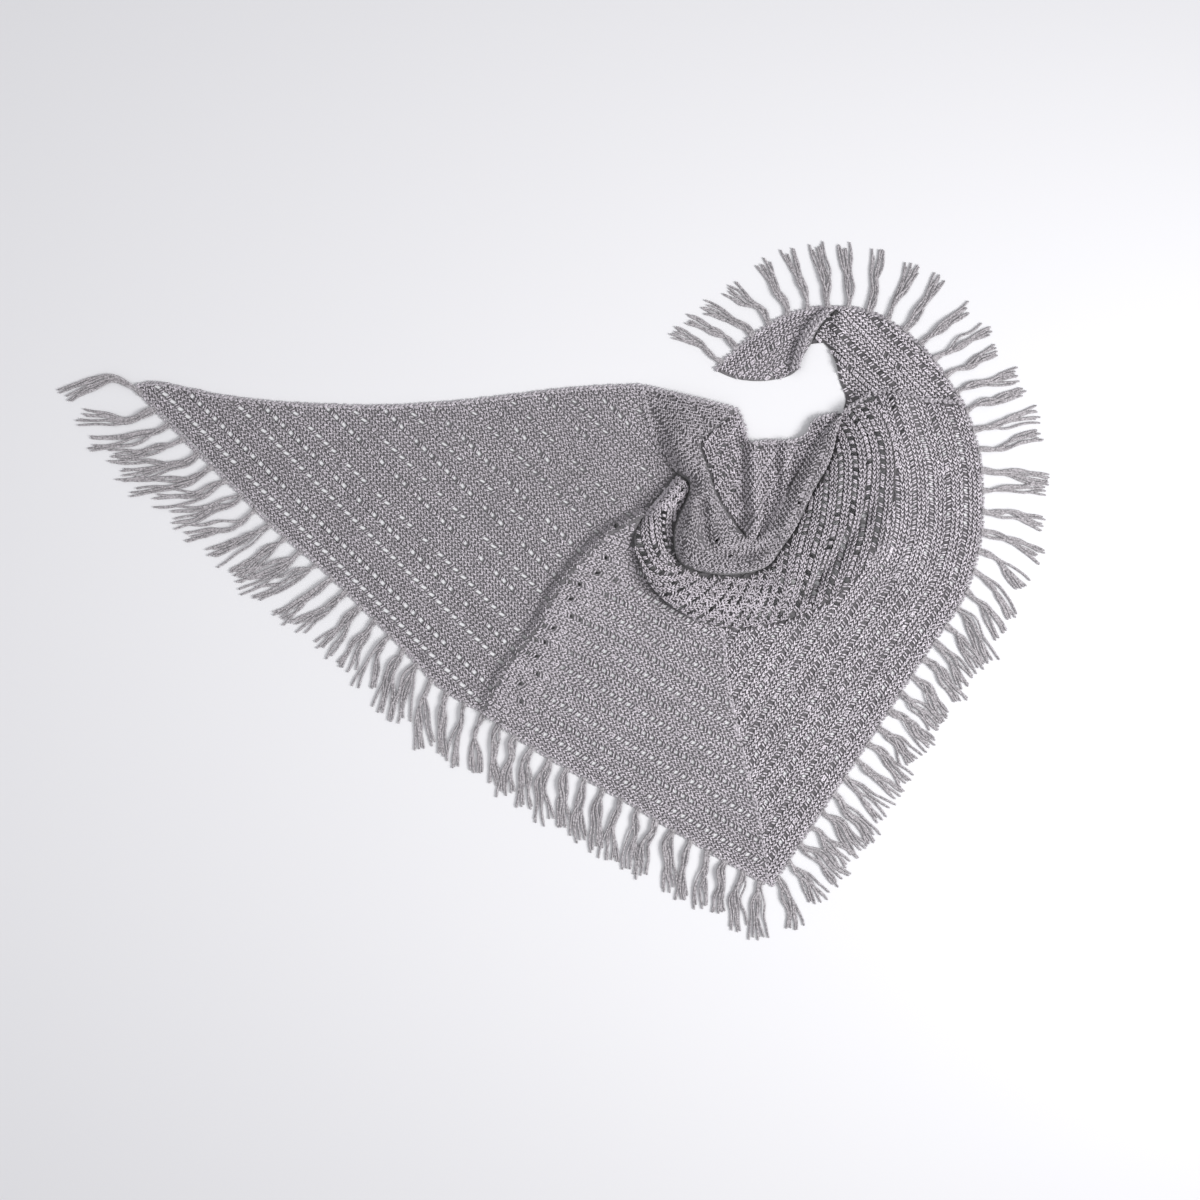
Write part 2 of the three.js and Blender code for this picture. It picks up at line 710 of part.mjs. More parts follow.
function addFringe(side, hem, table) {
  const sums = lengths(hem);
  const length = sums[sums.length - 1];
  const count = Math.round(length / tassel.pitch);
  const strips = Math.ceil(count / tassel.perStrip);
  const pitch = length / count;
  for (let strip = 0; strip < strips; strip += 1) {
    const first = Math.round((strip * count) / strips);
    const end = Math.round(((strip + 1) * count) / strips);
    const roots = Array.from({ length: end - first }, (_, i) => (first + i + 0.5) * pitch);
    const [from, to] = [first * pitch + seamGap / 2, end * pitch - seamGap / 2];
    const solid = fringeSolid(hem, sums, from, to, roots, table);
    addPiece(`fringe_${side}_${strip + 1}`, geometryFrom(solid));
  }
}

addFringe("left", joined(hemLeft, hemCentre), fringeLeft);
addFringe("right", joined(hemRight, hemTop, hemTip), fringeRight);

export default shawl;
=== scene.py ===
import math

import bmesh
import bpy
import numpy as np
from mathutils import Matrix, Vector


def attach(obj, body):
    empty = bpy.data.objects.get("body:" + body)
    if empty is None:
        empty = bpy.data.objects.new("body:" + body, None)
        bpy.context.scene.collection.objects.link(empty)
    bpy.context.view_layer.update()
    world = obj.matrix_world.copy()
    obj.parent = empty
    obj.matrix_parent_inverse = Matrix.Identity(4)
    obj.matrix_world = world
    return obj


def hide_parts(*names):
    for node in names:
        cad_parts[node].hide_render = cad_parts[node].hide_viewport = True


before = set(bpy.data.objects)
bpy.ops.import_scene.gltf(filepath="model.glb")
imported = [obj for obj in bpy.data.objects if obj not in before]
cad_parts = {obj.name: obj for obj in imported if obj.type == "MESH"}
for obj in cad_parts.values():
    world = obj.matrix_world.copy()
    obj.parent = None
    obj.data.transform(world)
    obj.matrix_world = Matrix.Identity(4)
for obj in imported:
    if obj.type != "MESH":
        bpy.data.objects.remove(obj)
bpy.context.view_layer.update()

mm = 0.001
rng = np.random.default_rng(7)

# The shawl's plan is given in millimetres, as [x, y] seen from above, and shifted so that
# its origin is the middle of the outline.
planShift = (-2.8, 0.5)


def plan(points, steps=6):
    return smoothed(np.array(points, float), steps)


# A smooth line through the rows of a table, with the same curve in every column.
def smoothed(rows, steps):
    n = len(rows)
    out = []
    for i in range(n - 1):
        before = rows[max(0, i - 1)]
        a, b = rows[i], rows[i + 1]
        after = rows[min(n - 1, i + 2)]
        for k in range(steps):
            t = k / steps
            slopeA, slopeB = (b - before) / 2, (after - a) / 2
            out.append(
                (2 * t**3 - 3 * t**2 + 1) * a
                + (t**3 - 2 * t**2 + t) * slopeA
                + (-2 * t**3 + 3 * t**2) * b
                + (t**3 - t**2) * slopeB
            )
    out.append(rows[-1])
    return np.array(out)


selvage = plan([
    [-560, 277], [-528, 280], [-433, 261], [-339, 252], [-231, 249],
    [-136, 254], [-69, 261], [12, 271], [80, 276], [122, 277],
])
hemLeft = plan([
    [-560, 277], [-495, 209], [-429, 145], [-366, 83], [-304, 30],
    [-250, -22], [-194, -79], [-147, -128], [-89, -161],
])
tuck = plan([
    [-89, -161], [-77, -138], [-55, -99], [-18, -52], [9, -1],
    [32, 29], [66, 65], [93, 84], [123, 99],
])
hemCentre = plan([[-89, -161], [-34, -202], [30, -240], [112, -287], [202, -341], [296, -396]])
spine = plan([[296, -396], [279, -302], [259, -219], [248, -171], [240, -129], [235, -88], [231, -47]])
hemRight = plan([
    [296, -396], [363, -295], [431, -194], [491, -102], [539, -32], [559, 3],
    [570, 36], [578, 76], [580, 117], [578, 164], [570, 209], [554, 253],
])
hemTop = plan([
    [554, 253], [532, 286], [509, 318], [487, 340], [463, 358], [440, 371], [414, 379], [385, 381],
])
hemTip = plan([
    [385, 381], [360, 380], [333, 375], [308, 365], [286, 352], [265, 337], [244, 318], [223, 298],
])
knee = plan([[433, 267], [458, 269], [479, 265], [502, 257], [528, 256], [554, 253]])
innerRight = plan([
    [393, 241], [398, 261], [390, 283], [385, 304], [378, 323], [374, 335], [351, 334],
])
pinch = plan([[351, 334], [355, 345], [363, 358], [374, 371], [385, 381]])
selvageTip = plan([
    [223, 298], [250, 287], [285, 284], [319, 290], [333, 300], [340, 317], [351, 334],
])
pouchEdge = plan([
    [251, 245], [261, 221], [265, 200], [289, 202], [323, 202],
    [344, 210], [352, 226], [366, 234], [393, 241],
])

# Sections across the U-shaped roll: outer x, outer y, inner x, inner y, outer height,
# crown height, crown place, inner height.
foldSteps = 4
rollRows = smoothed(np.array([
    [122, 277, 251, 245, 4, 10, 0.45, 9],
    [127, 253, 239, 234, 4, 14, 0.5, 12],
    [134, 226, 224, 221, 4, 19, 0.5, 13],
    [142, 200, 205, 206, 5, 25, 0.5, 14],
    [158, 178, 202, 191, 6, 29, 0.45, 12],
    [171, 159, 209, 171, 7, 32, 0.45, 12],
    [185, 148, 215, 153, 8, 34, 0.5, 12],
    [186, 134, 220, 137, 8, 36, 0.5, 12],
    [180, 118, 227, 122, 8, 37, 0.5, 12],
    [171, 99, 235, 109, 8, 38, 0.4, 13],
    [166, 80, 243, 97, 8, 38, 0.25, 14],
    [166, 60, 250, 87, 8, 38, 0.22, 15],
    [171, 43, 256, 80, 8, 37, 0.2, 16],
    [185, 32, 261, 75, 8, 36, 0.2, 16],
    [209, 25, 266, 72, 8, 34, 0.2, 16],
    [234, 22, 271, 71, 8, 32, 0.22, 16],
    [258, 24, 277, 72, 7, 31, 0.25, 16],
    [279, 28, 282, 76, 6, 31, 0.3, 16],
    [297, 38, 288, 83, 6, 30, 0.5, 18],
    [310, 57, 294, 94, 6, 30, 0.5, 20],
    [324, 76, 304, 109, 5, 30, 0.5, 21],
    [339, 103, 315, 128, 5, 30, 0.5, 21],
    [350, 128, 325, 146, 5, 30, 0.5, 21],
    [363, 151, 338, 169, 5, 29, 0.5, 20],
    [375, 173, 350, 192, 5, 27, 0.5, 18],
    [382, 196, 360, 210, 6, 25, 0.5, 16],
    [386, 218, 374, 226, 7, 21, 0.5, 13],
    [393, 241, 393, 241, 8, 14, 0.5, 10],
], float), foldSteps)
rollOuter, rollInner = rollRows[:, 0:2], rollRows[:, 2:4]

# Sections across the crescent: outer x, outer y, outer height, crown height, crown place,
# inner height, softness. Its inner side is the roll's outer side, from one row on.
crescentStart = 5
crescentRows = smoothed(np.array([
    [171, 159, 5, 10, 0.5, 10, 0],
    [158, 141, 5, 20, 0.5, 8, 0],
    [143, 124, 5, 25, 0.45, 8, 0],
    [123, 99, 5, 27, 0.45, 8, 0],
    [112, 75, 24, 28, 0.4, 8, 0.5],
    [115, 52, 22, 28, 0.4, 8, 0.5],
    [124, 26, 17, 28, 0.35, 8, 0.3],
    [138, 3, 14, 27, 0.35, 8, 0.3],
    [158, -17, 12, 26, 0.35, 8, 0.3],
    [188, -34, 9, 24, 0.38, 8, 0.2],
    [231, -47, 5, 22, 0.4, 8, 0.2],
    [266, -48, 5, 21, 0.42, 8, 0.3],
    [304, -41, 6, 20, 0.45, 6, 0.5],
    [347, -28, 9, 19, 0.5, 6, 0.7],
    [382, -7, 10, 18, 0.55, 6, 0.9],
    [413, 21, 10, 18, 0.6, 6, 1],
    [439, 56, 10, 18, 0.65, 6, 1],
    [455, 97, 10, 18, 0.68, 6, 1],
    [463, 137, 7, 18, 0.68, 6, 1],
    [466, 175, 8, 18, 0.66, 6, 1],
    [462, 207, 9, 18, 0.6, 7, 1],
    [452, 234, 11, 18, 0.55, 7, 1],
    [433, 267, 13, 14, 0.5, 7, 1],
], float), foldSteps)
crescentOuter = crescentRows[:, 0:2]
crescentLeftEnd, crescentSpine = 3 * foldSteps, 10 * foldSteps

clothThickness = 2.8
edgeShare = 0.35
# A ridge has a height at each end of its line and falls off beside it. One with a rise
# climbs first, from a share of its height at the line.
tuckRidge = {"heights": [7, 19], "fall": 75}
tuckClimb = {"heights": [7, 20], "fall": 15}
kneeRidge = {"heights": [14, 2], "rise": 8, "fall": 40}
kneeUnder = {"heights": [11, 1], "fall": 35}
standingRidge = {"line": [[393, 369], [387, 346], [394, 306]], "heights": [6, 9], "fall": 18}
braidRidge = {
    "line": [[331, 298], [337, 322], [346, 343], [360, 362], [376, 374]],
    "heights": [9, 9], "fall": 14,
}
tipSwell = {"line": [[262, 310], [300, 330]], "heights": [3, 4], "fall": 26}
rightSwell = {"line": [[470, 262], [475, 190], [474, 120]], "heights": [9, 4], "fall": 32}
outerSwell = {
    "line": [[335, -38], [364, -25], [385, -7], [416, 22], [443, 60], [456, 97]],
    "heights": [6, 7], "fall": 26,
}
upperSwell = {"line": [[408, 330], [430, 296], [462, 284]], "heights": [7, 9], "fall": 44}
crescentValley = {
    "line": [[430, 112], [421, 98], [396, 65], [371, 31], [344, -3]],
    "heights": [-8, -12], "fall": 15,
}
pouchSlope = {"top": 245, "bottom": 80, "low": 5, "high": 9}
pouchFolds = [
    {"line": [[272, 205], [272, 151], [273, 124], [276, 99], [270, 78]],
     "heights": [11, 20], "fall": 14},
    {"line": [[317, 198], [317, 151], [312, 121]], "heights": [7, 11], "fall": 15},
]
pouchBank = {"heights": [5, 9], "fall": 30}
pouchSide = rollInner[17 * foldSteps:26 * foldSteps]


# Plan and height helpers, all in millimetres on arrays of points
def nearestOn(line, points):
    a, b = line[:-1], line[1:]
    d = b - a
    rel = points[:, None, :] - a[None]
    t = np.clip((rel * d).sum(2) / (d * d).sum(1), 0, 1)
    gap = np.linalg.norm(rel - t[..., None] * d, axis=2)
    best = gap.argmin(1)
    each = np.arange(len(points))
    tBest = t[each, best]
    return gap[each, best], (best + tBest) / len(a), a[best] + tBest[:, None] * d[best]


def swell(distance, rise, fall):
    t = np.clip((distance - rise) / fall, 0, 1)
    height = 0.5 + 0.5 * np.cos(np.pi * t)
    if rise:
        up = edgeShare + (1 - edgeShare) * (0.5 - 0.5 * np.cos(np.pi * np.clip(distance / rise, 0, 1)))
        height = np.where(distance < rise, up, height)
    return height


def ridgeHeight(ridge, line, points):
    distance, share, _ = nearestOn(line, points)
    start, end = ridge["heights"]
    return (start + (end - start) * share) * swell(distance, ridge.get("rise", 0), ridge["fall"])


def ownRidge(ridge, points):
    return ridgeHeight(ridge, np.array(ridge["line"], float), points)


def insideOf(outline, points):
    x, y = points[:, 0:1], points[:, 1:2]
    a, b = outline, np.roll(outline, -1, axis=0)
    straddles = (a[:, 1] > y) != (b[:, 1] > y)
    height = np.where(b[:, 1] == a[:, 1], 1e-9, b[:, 1] - a[:, 1])
    crossing = a[:, 0] + (b[:, 0] - a[:, 0]) * (y - a[:, 1]) / height
    return (straddles & (x < crossing)).sum(1) % 2 == 1


def closedOutline(*curves):
    return np.concatenate([c[:-1] for c in curves])


def lengthsOf(line):
    return np.concatenate([[0], np.cumsum(np.linalg.norm(np.diff(line, axis=0), axis=1))])


# The columns of a line's table, at distances along the line
def sampled(table, sums, at):
    return np.stack([np.interp(at, sums, table[:, k]) for k in range(table.shape[1])], -1)


# A line that rows run beside: points at a distance along it and a distance to its left.
# Past its ends it goes straight on.
def beside(line, along, left):
    sums = lengthsOf(line)
    ways = np.gradient(line, sums, axis=0)
    ways /= np.linalg.norm(ways, axis=1)[:, None]
    at = np.clip(along, 0, sums[-1])
    point = sampled(line, sums, at)
    way = sampled(ways, sums, at)
    way /= np.linalg.norm(way, axis=-1)[..., None]
    normal = np.stack([-way[..., 1], way[..., 0]], -1)
    return point + way * (along - at)[..., None] + normal * left[..., None]


# Rows are followed in steps of one length. The backing, the stitches and the threads of the
# open rows lie a little under the surface.
sampleStep = 2.0
weave = {"stitch": 5.9, "backing": 0.9, "backingSink": 1.6, "stitchSink": 0.35, "threadSink": 0.5}


# The rows of the cloth: groups of ridges with an open eyelet row after each
def rowBands(depth, groups, openRow, ridge):
    bands = []
    at, group = 0.0, 0
    while at < depth:
        for _ in range(groups[group % len(groups)]):
            bands.append((at, at + ridge, False))
            at += ridge
        bands.append((at, at + openRow, True))
        at += openRow
        group += 1
    return bands


# Yarn of two tones: fine flecks, a slow drift between the tones, and a bump of fibres
yarnLook = {
    "surface": {
        "Roughness": 0.92, "Specular IOR Level": 0.25, "Sheen Weight": 0.25, "Sheen Roughness": 0.6,
    },
    "fleck": {"Scale": 420.0, "Detail": 3.0, "Roughness": 0.6},
    "fibre": {"Scale": 1500.0, "Detail": 4.0, "Roughness": 0.7},
    "broad": {"Scale": 14.0, "Detail": 2.0},
    "fleckRange": (0.34, 0.66),
    "driftRange": (-0.12, 0.12),
    "bump": {"Strength": 0.5, "Distance": 0.0006},
}


def valueNode(tree, kind, **inputs):
    node = tree.nodes.new(kind)
    for name, value in inputs.items():
        node.inputs[name].default_value = value
    return node


def heatherGroup():
    tree = bpy.data.node_groups.new("heatheredYarn", "ShaderNodeTree")
    for name, way, kind in (
            ("Vector", "INPUT", "Vector"), ("Light", "INPUT", "Color"), ("Dark", "INPUT", "Color"),
            ("Color", "OUTPUT", "Color"), ("Fibre", "OUTPUT", "Float")):
        tree.interface.new_socket(name, in_out=way, socket_type="NodeSocket" + kind)
    start = tree.nodes.new("NodeGroupInput")
    end = tree.nodes.new("NodeGroupOutput")
    link = tree.links.new
    fleck, fibre, broad = (
        valueNode(tree, "ShaderNodeTexNoise", **yarnLook[name]) for name in ("fleck", "fibre", "broad"))
    for node in (fleck, fibre, broad):
        link(start.outputs["Vector"], node.inputs["Vector"])
    low, high = yarnLook["fleckRange"]
    ramp = valueNode(tree, "ShaderNodeMapRange", **{"From Min": low, "From Max": high})
    link(fleck.outputs["Fac"], ramp.inputs["Value"])
    low, high = yarnLook["driftRange"]
    drift = valueNode(tree, "ShaderNodeMapRange", **{"To Min": low, "To Max": high})
    link(broad.outputs["Fac"], drift.inputs["Value"])
    add = tree.nodes.new("ShaderNodeMath")
    add.operation = "ADD"
    add.use_clamp = True
    link(ramp.outputs["Result"], add.inputs[0])
    link(drift.outputs["Result"], add.inputs[1])
    mix = tree.nodes.new("ShaderNodeMix")
    mix.data_type = "RGBA"
    link(add.outputs["Value"], mix.inputs["Factor"])
    link(start.outputs["Dark"], mix.inputs["A"])
    link(start.outputs["Light"], mix.inputs["B"])
    link(mix.outputs["Result"], end.inputs["Color"])
    link(fibre.outputs["Fac"], end.inputs["Fibre"])
    return tree


heather = heatherGroup()


def yarnMaterial(name, light, dark):
    material = bpy.data.materials.new(name)
    material.use_nodes = True
    tree = material.node_tree
    shader = tree.nodes["Principled BSDF"]
    for socket, value in yarnLook["surface"].items():
        shader.inputs[socket].default_value = value
    group = tree.nodes.new("ShaderNodeGroup")
    group.node_tree = heather
    group.inputs["Light"].default_value = (*light, 1)
    group.inputs["Dark"].default_value = (*dark, 1)
    place = tree.nodes.new("ShaderNodeTexCoord")
    tree.links.new(place.outputs["Object"], group.inputs["Vector"])
    tree.links.new(group.outputs["Color"], shader.inputs["Base Color"])
    bump = valueNode(tree, "ShaderNodeBump", **yarnLook["bump"])
    tree.links.new(group.outputs["Fibre"], bump.inputs["Height"])
    tree.links.new(bump.outputs["Normal"], shader.inputs["Normal"])
    return material


# One yarn, in copies of different brightness. The stitch yarn has the yarn's own tone. The left wing's
# and the roll's copies are darker, as painted shade, and the right wing's copy is lighter, as painted
# light, to match how the light falls on each piece. The edging's and the fringe's copies are darker too,
# partly as painted shade.
stitchYarn = yarnMaterial("stitchYarn", (0.79, 0.735, 0.79), (0.23, 0.21, 0.23))
paintedShadeLeftYarn = yarnMaterial("paintedShadeLeftYarn", (0.70, 0.65, 0.70), (0.195, 0.18, 0.195))
paintedLightRightYarn = yarnMaterial("paintedLightRightYarn", (0.92, 0.86, 0.92), (0.27, 0.25, 0.27))
paintedShadeRollYarn = yarnMaterial("paintedShadeRollYarn", (0.62, 0.58, 0.62), (0.17, 0.155, 0.17))
# The backings are dark sheets under the stitches. They paint the shade between the stitches and in open
# creases, pits and eyelets, and they are darker where the cloth lies in deeper shade.
paintedShadeBacking = yarnMaterial("paintedShadeBacking", (0.20, 0.19, 0.20), (0.10, 0.095, 0.10))
edgingYarn = yarnMaterial("edgingYarn", (0.64, 0.60, 0.64), (0.19, 0.175, 0.19))
deeperPaintedShadeBacking = yarnMaterial("deeperPaintedShadeBacking", (0.15, 0.14, 0.15), (0.07, 0.065, 0.07))
deepestPaintedShadeBacking = yarnMaterial("deepestPaintedShadeBacking", (0.12, 0.115, 0.12), (0.055, 0.05, 0.055))
fringeYarn = yarnMaterial("fringeYarn", (0.50, 0.47, 0.49), (0.16, 0.15, 0.157))


# Small closed stitches, joined from arrays
def spindleShape():
    bm = bmesh.new()
    bmesh.ops.create_uvsphere(bm, u_segments=4, v_segments=3, radius=1.0)
    bm.verts.ensure_lookup_table()
    points = np.array([v.co[:] for v in bm.verts])[:, [2, 0, 1]]
    faces = [[v.index for v in f.verts] for f in bm.faces]
    bm.free()
    return points, faces


spindlePoints, spindleFaces = spindleShape()


def joinedSpindles(name, centres, axes, material):
    count = len(centres)
    size = len(spindlePoints)
    points = np.einsum("kj,nji->nki", spindlePoints, axes) + centres[:, None, :]
    corners = np.concatenate([np.array(f) for f in spindleFaces])
    sides = np.array([len(f) for f in spindleFaces])
    loops = (corners[None, :] + size * np.arange(count)[:, None]).ravel()
    sizes = np.tile(sides, count)
    starts = np.concatenate([[0], np.cumsum(sizes)[:-1]])
    mesh = bpy.data.meshes.new(name)
    mesh.vertices.add(count * size)
    mesh.vertices.foreach_set("co", (points.reshape(-1, 3) * mm).astype(np.float32).ravel())
    mesh.loops.add(len(loops))
    mesh.loops.foreach_set("vertex_index", loops.astype(np.int32))
    mesh.polygons.add(len(sizes))
    mesh.polygons.foreach_set("loop_start", starts.astype(np.int32))
    mesh.update(calc_edges=True)
    return addSmooth(name, mesh, material)


def addObject(name, mesh, material):
    piece = bpy.data.objects.new(name, mesh)
    bpy.context.scene.collection.objects.link(piece)
    mesh.materials.append(material)
    return piece


def addSmooth(name, mesh, material):
    mesh.polygons.foreach_set("use_smooth", np.ones(len(mesh.polygons), bool))
    return addObject(name, mesh, material)


def shifted(points):
    moved = np.array(points, float)
    moved[..., 0] += planShift[0]
    moved[..., 1] += planShift[1]
    return moved


# Two legs to a stitch, leaning to either side of the row
stitchShape = {"half": 3.4, "width": 1.15, "height": 1.5, "lean": 25, "apart": 1.0, "unevenness": 0.1}
looseStitch = {"half": 3.0, "width": 1.2, "height": 1.6, "lean": 38, "apart": 1.1, "unevenness": 0.16}
legPlacing = {"stagger": 0.6, "scatter": 0.25, "leanScatter": 6}


def stitchLegs(rows, shape, pitch):
    centres, axes = [], []
    for path, normals in rows:
        sums = lengthsOf(path)
        if sums[-1] < pitch:
            continue
        at = np.arange(pitch / 3 + rng.uniform(0, 1), sums[-1] - pitch / 4, pitch)
        point = sampled(path, sums, at)
        way = sampled(path, sums, at + 1) - sampled(path, sums, at - 1)
        way = way / np.linalg.norm(way, axis=1)[:, None]
        normal = sampled(normals, sums, at)
        normal = normal / np.linalg.norm(normal, axis=1)[:, None]
        side = np.cross(normal, way)
        for turn in (1, -1):
            wobble = rng.normal(0, 1, (len(at), 4))
            lean = np.radians(shape["lean"] + legPlacing["leanScatter"] * wobble[:, 0]) * turn
            leg = way * np.cos(lean)[:, None] + side * np.sin(lean)[:, None]
            across = np.cross(normal, leg)
            size = 1 + shape["unevenness"] * wobble[:, 1:2]
            centres.append(
                point
                + side * (turn * shape["apart"] + legPlacing["scatter"] * wobble[:, 2:3])
                + way * (legPlacing["scatter"] * wobble[:, 3:4] + turn * legPlacing["stagger"])
            )
            axes.append(np.stack([
                leg * shape["half"] * size,
                across * shape["width"] * size,
                normal * shape["height"],
            ], 1))
    return centres, axes


# The directions that stand on the surface of a height function
def surfaceNormals(top, points):
    step = 0.8
    dx = (top(points + [step, 0]) - top(points - [step, 0])) / (2 * step)
    dy = (top(points + [0, step]) - top(points - [0, step])) / (2 * step)
    normal = np.stack([-dx, -dy, np.ones(len(points))], -1)
    return normal / np.linalg.norm(normal, axis=1)[:, None]


# The cloth turns down at the outline of a fold, from every edge within reach of it
skirtReach, leastSkirt = 0.7, 0.0005


def addSkirt(bm, outline, low):
    loop = shifted(np.concatenate([outline, outline[:1]]))
    edges = [e for e in bm.edges if e.is_boundary]
    ends = np.array([[v.co[:2] for v in e.verts] for e in edges]) / mm
    gaps = nearestOn(loop, ends.reshape(-1, 2))[0].reshape(-1, 2)
    edges = [e for e, gap in zip(edges, gaps) if gap.max() < skirtReach]
    grown = bmesh.ops.extrude_edge_only(bm, edges=edges)["geom"]
    for vert in grown:
        if isinstance(vert, bmesh.types.BMVert):
            vert.co.z = min(vert.co.z - leastSkirt, low * mm)


# A sheet over a plan outline: a grid along its rows, trimmed to the outline, with eyelets.
# Corners closer than these distances in metres become one.
weldDistance, slimDistance = 0.00005, 0.00002


def gridSheet(name, along, left, place, keepFace, material, outline, skirt):
    bm = bmesh.new()
    nx, ny = len(along), len(left)
    bmesh.ops.create_grid(bm, x_segments=nx - 1, y_segments=ny - 1, size=1.0)
    bm.verts.ensure_lookup_table()
    i = np.array([round((v.co.x + 1) / 2 * (nx - 1)) for v in bm.verts])
    j = np.array([round((v.co.y + 1) / 2 * (ny - 1)) for v in bm.verts])
    points, used = place(i, j)
    for vert, point in zip(bm.verts, points):
        vert.co = point
    gone = []
    for face in bm.faces:
        ids = [v.index for v in face.verts]
        low = (min(i[k] for k in ids), min(j[k] for k in ids))
        if not keepFace(low, [used[k] for k in ids]):
            gone.append(face)
    bmesh.ops.delete(bm, geom=gone, context="FACES")
    bmesh.ops.remove_doubles(bm, verts=bm.verts, dist=weldDistance)
    bmesh.ops.dissolve_degenerate(bm, dist=slimDistance, edges=bm.edges)
    if skirt is not None:
        addSkirt(bm, outline, skirt)
    bmesh.ops.recalc_face_normals(bm, faces=bm.faces)
    bm.faces.ensure_lookup_table()
    if sum(f.normal.z * f.calc_area() for f in bm.faces) < 0:
        bmesh.ops.reverse_faces(bm, faces=bm.faces)
    mesh = bpy.data.meshes.new(name)
    bm.to_mesh(mesh)
    bm.free()
    piece = addSmooth(name, mesh, material)
    wall = piece.modifiers.new("clothWall", "SOLIDIFY")
    wall.thickness = weave["backing"] * mm
    wall.offset = -1
    return piece


# A fold's surface between its sides, from the heights of its sections
def foldSurface(outer, inner, heights, t):
    place, crown = heights["place"], heights["crown"]
    u1 = 1 - t / place
    u2 = (t - place) / (1 - place)

    def shape(u, soft):
        rolled = np.sqrt(np.clip(1 - u * u, 0, 1))
        eased = 0.5 + 0.5 * np.cos(np.pi * np.clip(u, 0, 1))
        return rolled + (eased - rolled) * soft

    first = shape(np.clip(u1, 0, 1), heights["softOuter"])
    second = shape(np.clip(u2, 0, 1), heights["softInner"])
    z = np.where(
        t < place,
        heights["outer"] + (crown - heights["outer"]) * first,
        heights["inner"] + (crown - heights["inner"]) * second,
    )
    flat = outer + (inner - outer) * t[:, None]
    return np.column_stack([flat, z])


# Rows that run beside a line
def rowsBeside(guide, warp=None):
    def run(along, left):
        flat = beside(guide, along, left)
        return warp(flat) if warp else flat
    return run


# Rows that slant across a fold's sections. A section is measured in this many steps, and the
# rows go a share of its width past its sides.
sectionSteps, pastSides = 24, 0.3


def rowsAcross(outer, inner, heights, slants):
    shares = np.linspace(0, 1, sectionSteps + 1)
    sections = np.array([foldSurface(outer, inner, heights, np.full(len(outer), t)) for t in shares])
    steps = np.linalg.norm(np.diff(sections, axis=0), axis=2)
    arcs = np.concatenate([np.zeros((1, len(outer))), np.cumsum(steps, axis=0)]).T
    middle = (outer + inner) / 2
    sums = lengthsOf(middle)
    rows = np.arange(len(outer)) / foldSteps
    lean = np.tan(np.radians(np.interp(rows, [r for r, _ in slants], [d for _, d in slants])))
    drift = np.concatenate([[0], np.cumsum((lean[1:] + lean[:-1]) / 2 * np.diff(sums))])

    def run(along, left):
        at = np.clip(along, 0, sums[-1])
        place = np.interp(at, sums, np.arange(len(outer)))
        i = np.minimum(place.astype(int), len(outer) - 2)
        part = (place - i)[:, None]
        arc = arcs[i] * (1 - part) + arcs[i + 1] * part + np.arange(sectionSteps + 1) * 1e-6
        across = left + np.interp(at, sums, drift)
        k = np.clip((arc < across[:, None]).sum(1) - 1, 0, sectionSteps - 1)
        each = np.arange(len(at))
        t = (k + (across - arc[each, k]) / (arc[each, k + 1] - arc[each, k])) / sectionSteps
        start = outer[i] * (1 - part) + outer[i + 1] * part
        end = inner[i] * (1 - part) + inner[i + 1] * part
        return start + (end - start) * np.clip(t, -pastSides, 1 + pastSides)[:, None]
    return run


# What a stretch of cloth has unless it says otherwise: its backing, a dark sheet that paints the shade
# between the stitches, its yarns and stitches, the ridges in a group, the width of an open row, how its
# rims grow from row to row, the pitch of the eyelets, how much rounder one end is, their tilt, and the
# shares of them that are filled or only pits
cloth = {
    "backing": paintedShadeBacking, "yarn": stitchYarn, "stitch": stitchShape, "ridge": 5.6, "groups": [3],
    "row": 6.3, "slit": 0, "closing": 0.0, "pitch": 11.4, "rounder": 0.4, "tilt": 0.9,
    "filled": 0.04, "pits": 0,
}
mostRim, nearShare = 2.1, 0.7
narrowing = {"first": 0.12, "perRow": 0.03, "most": 0.4}


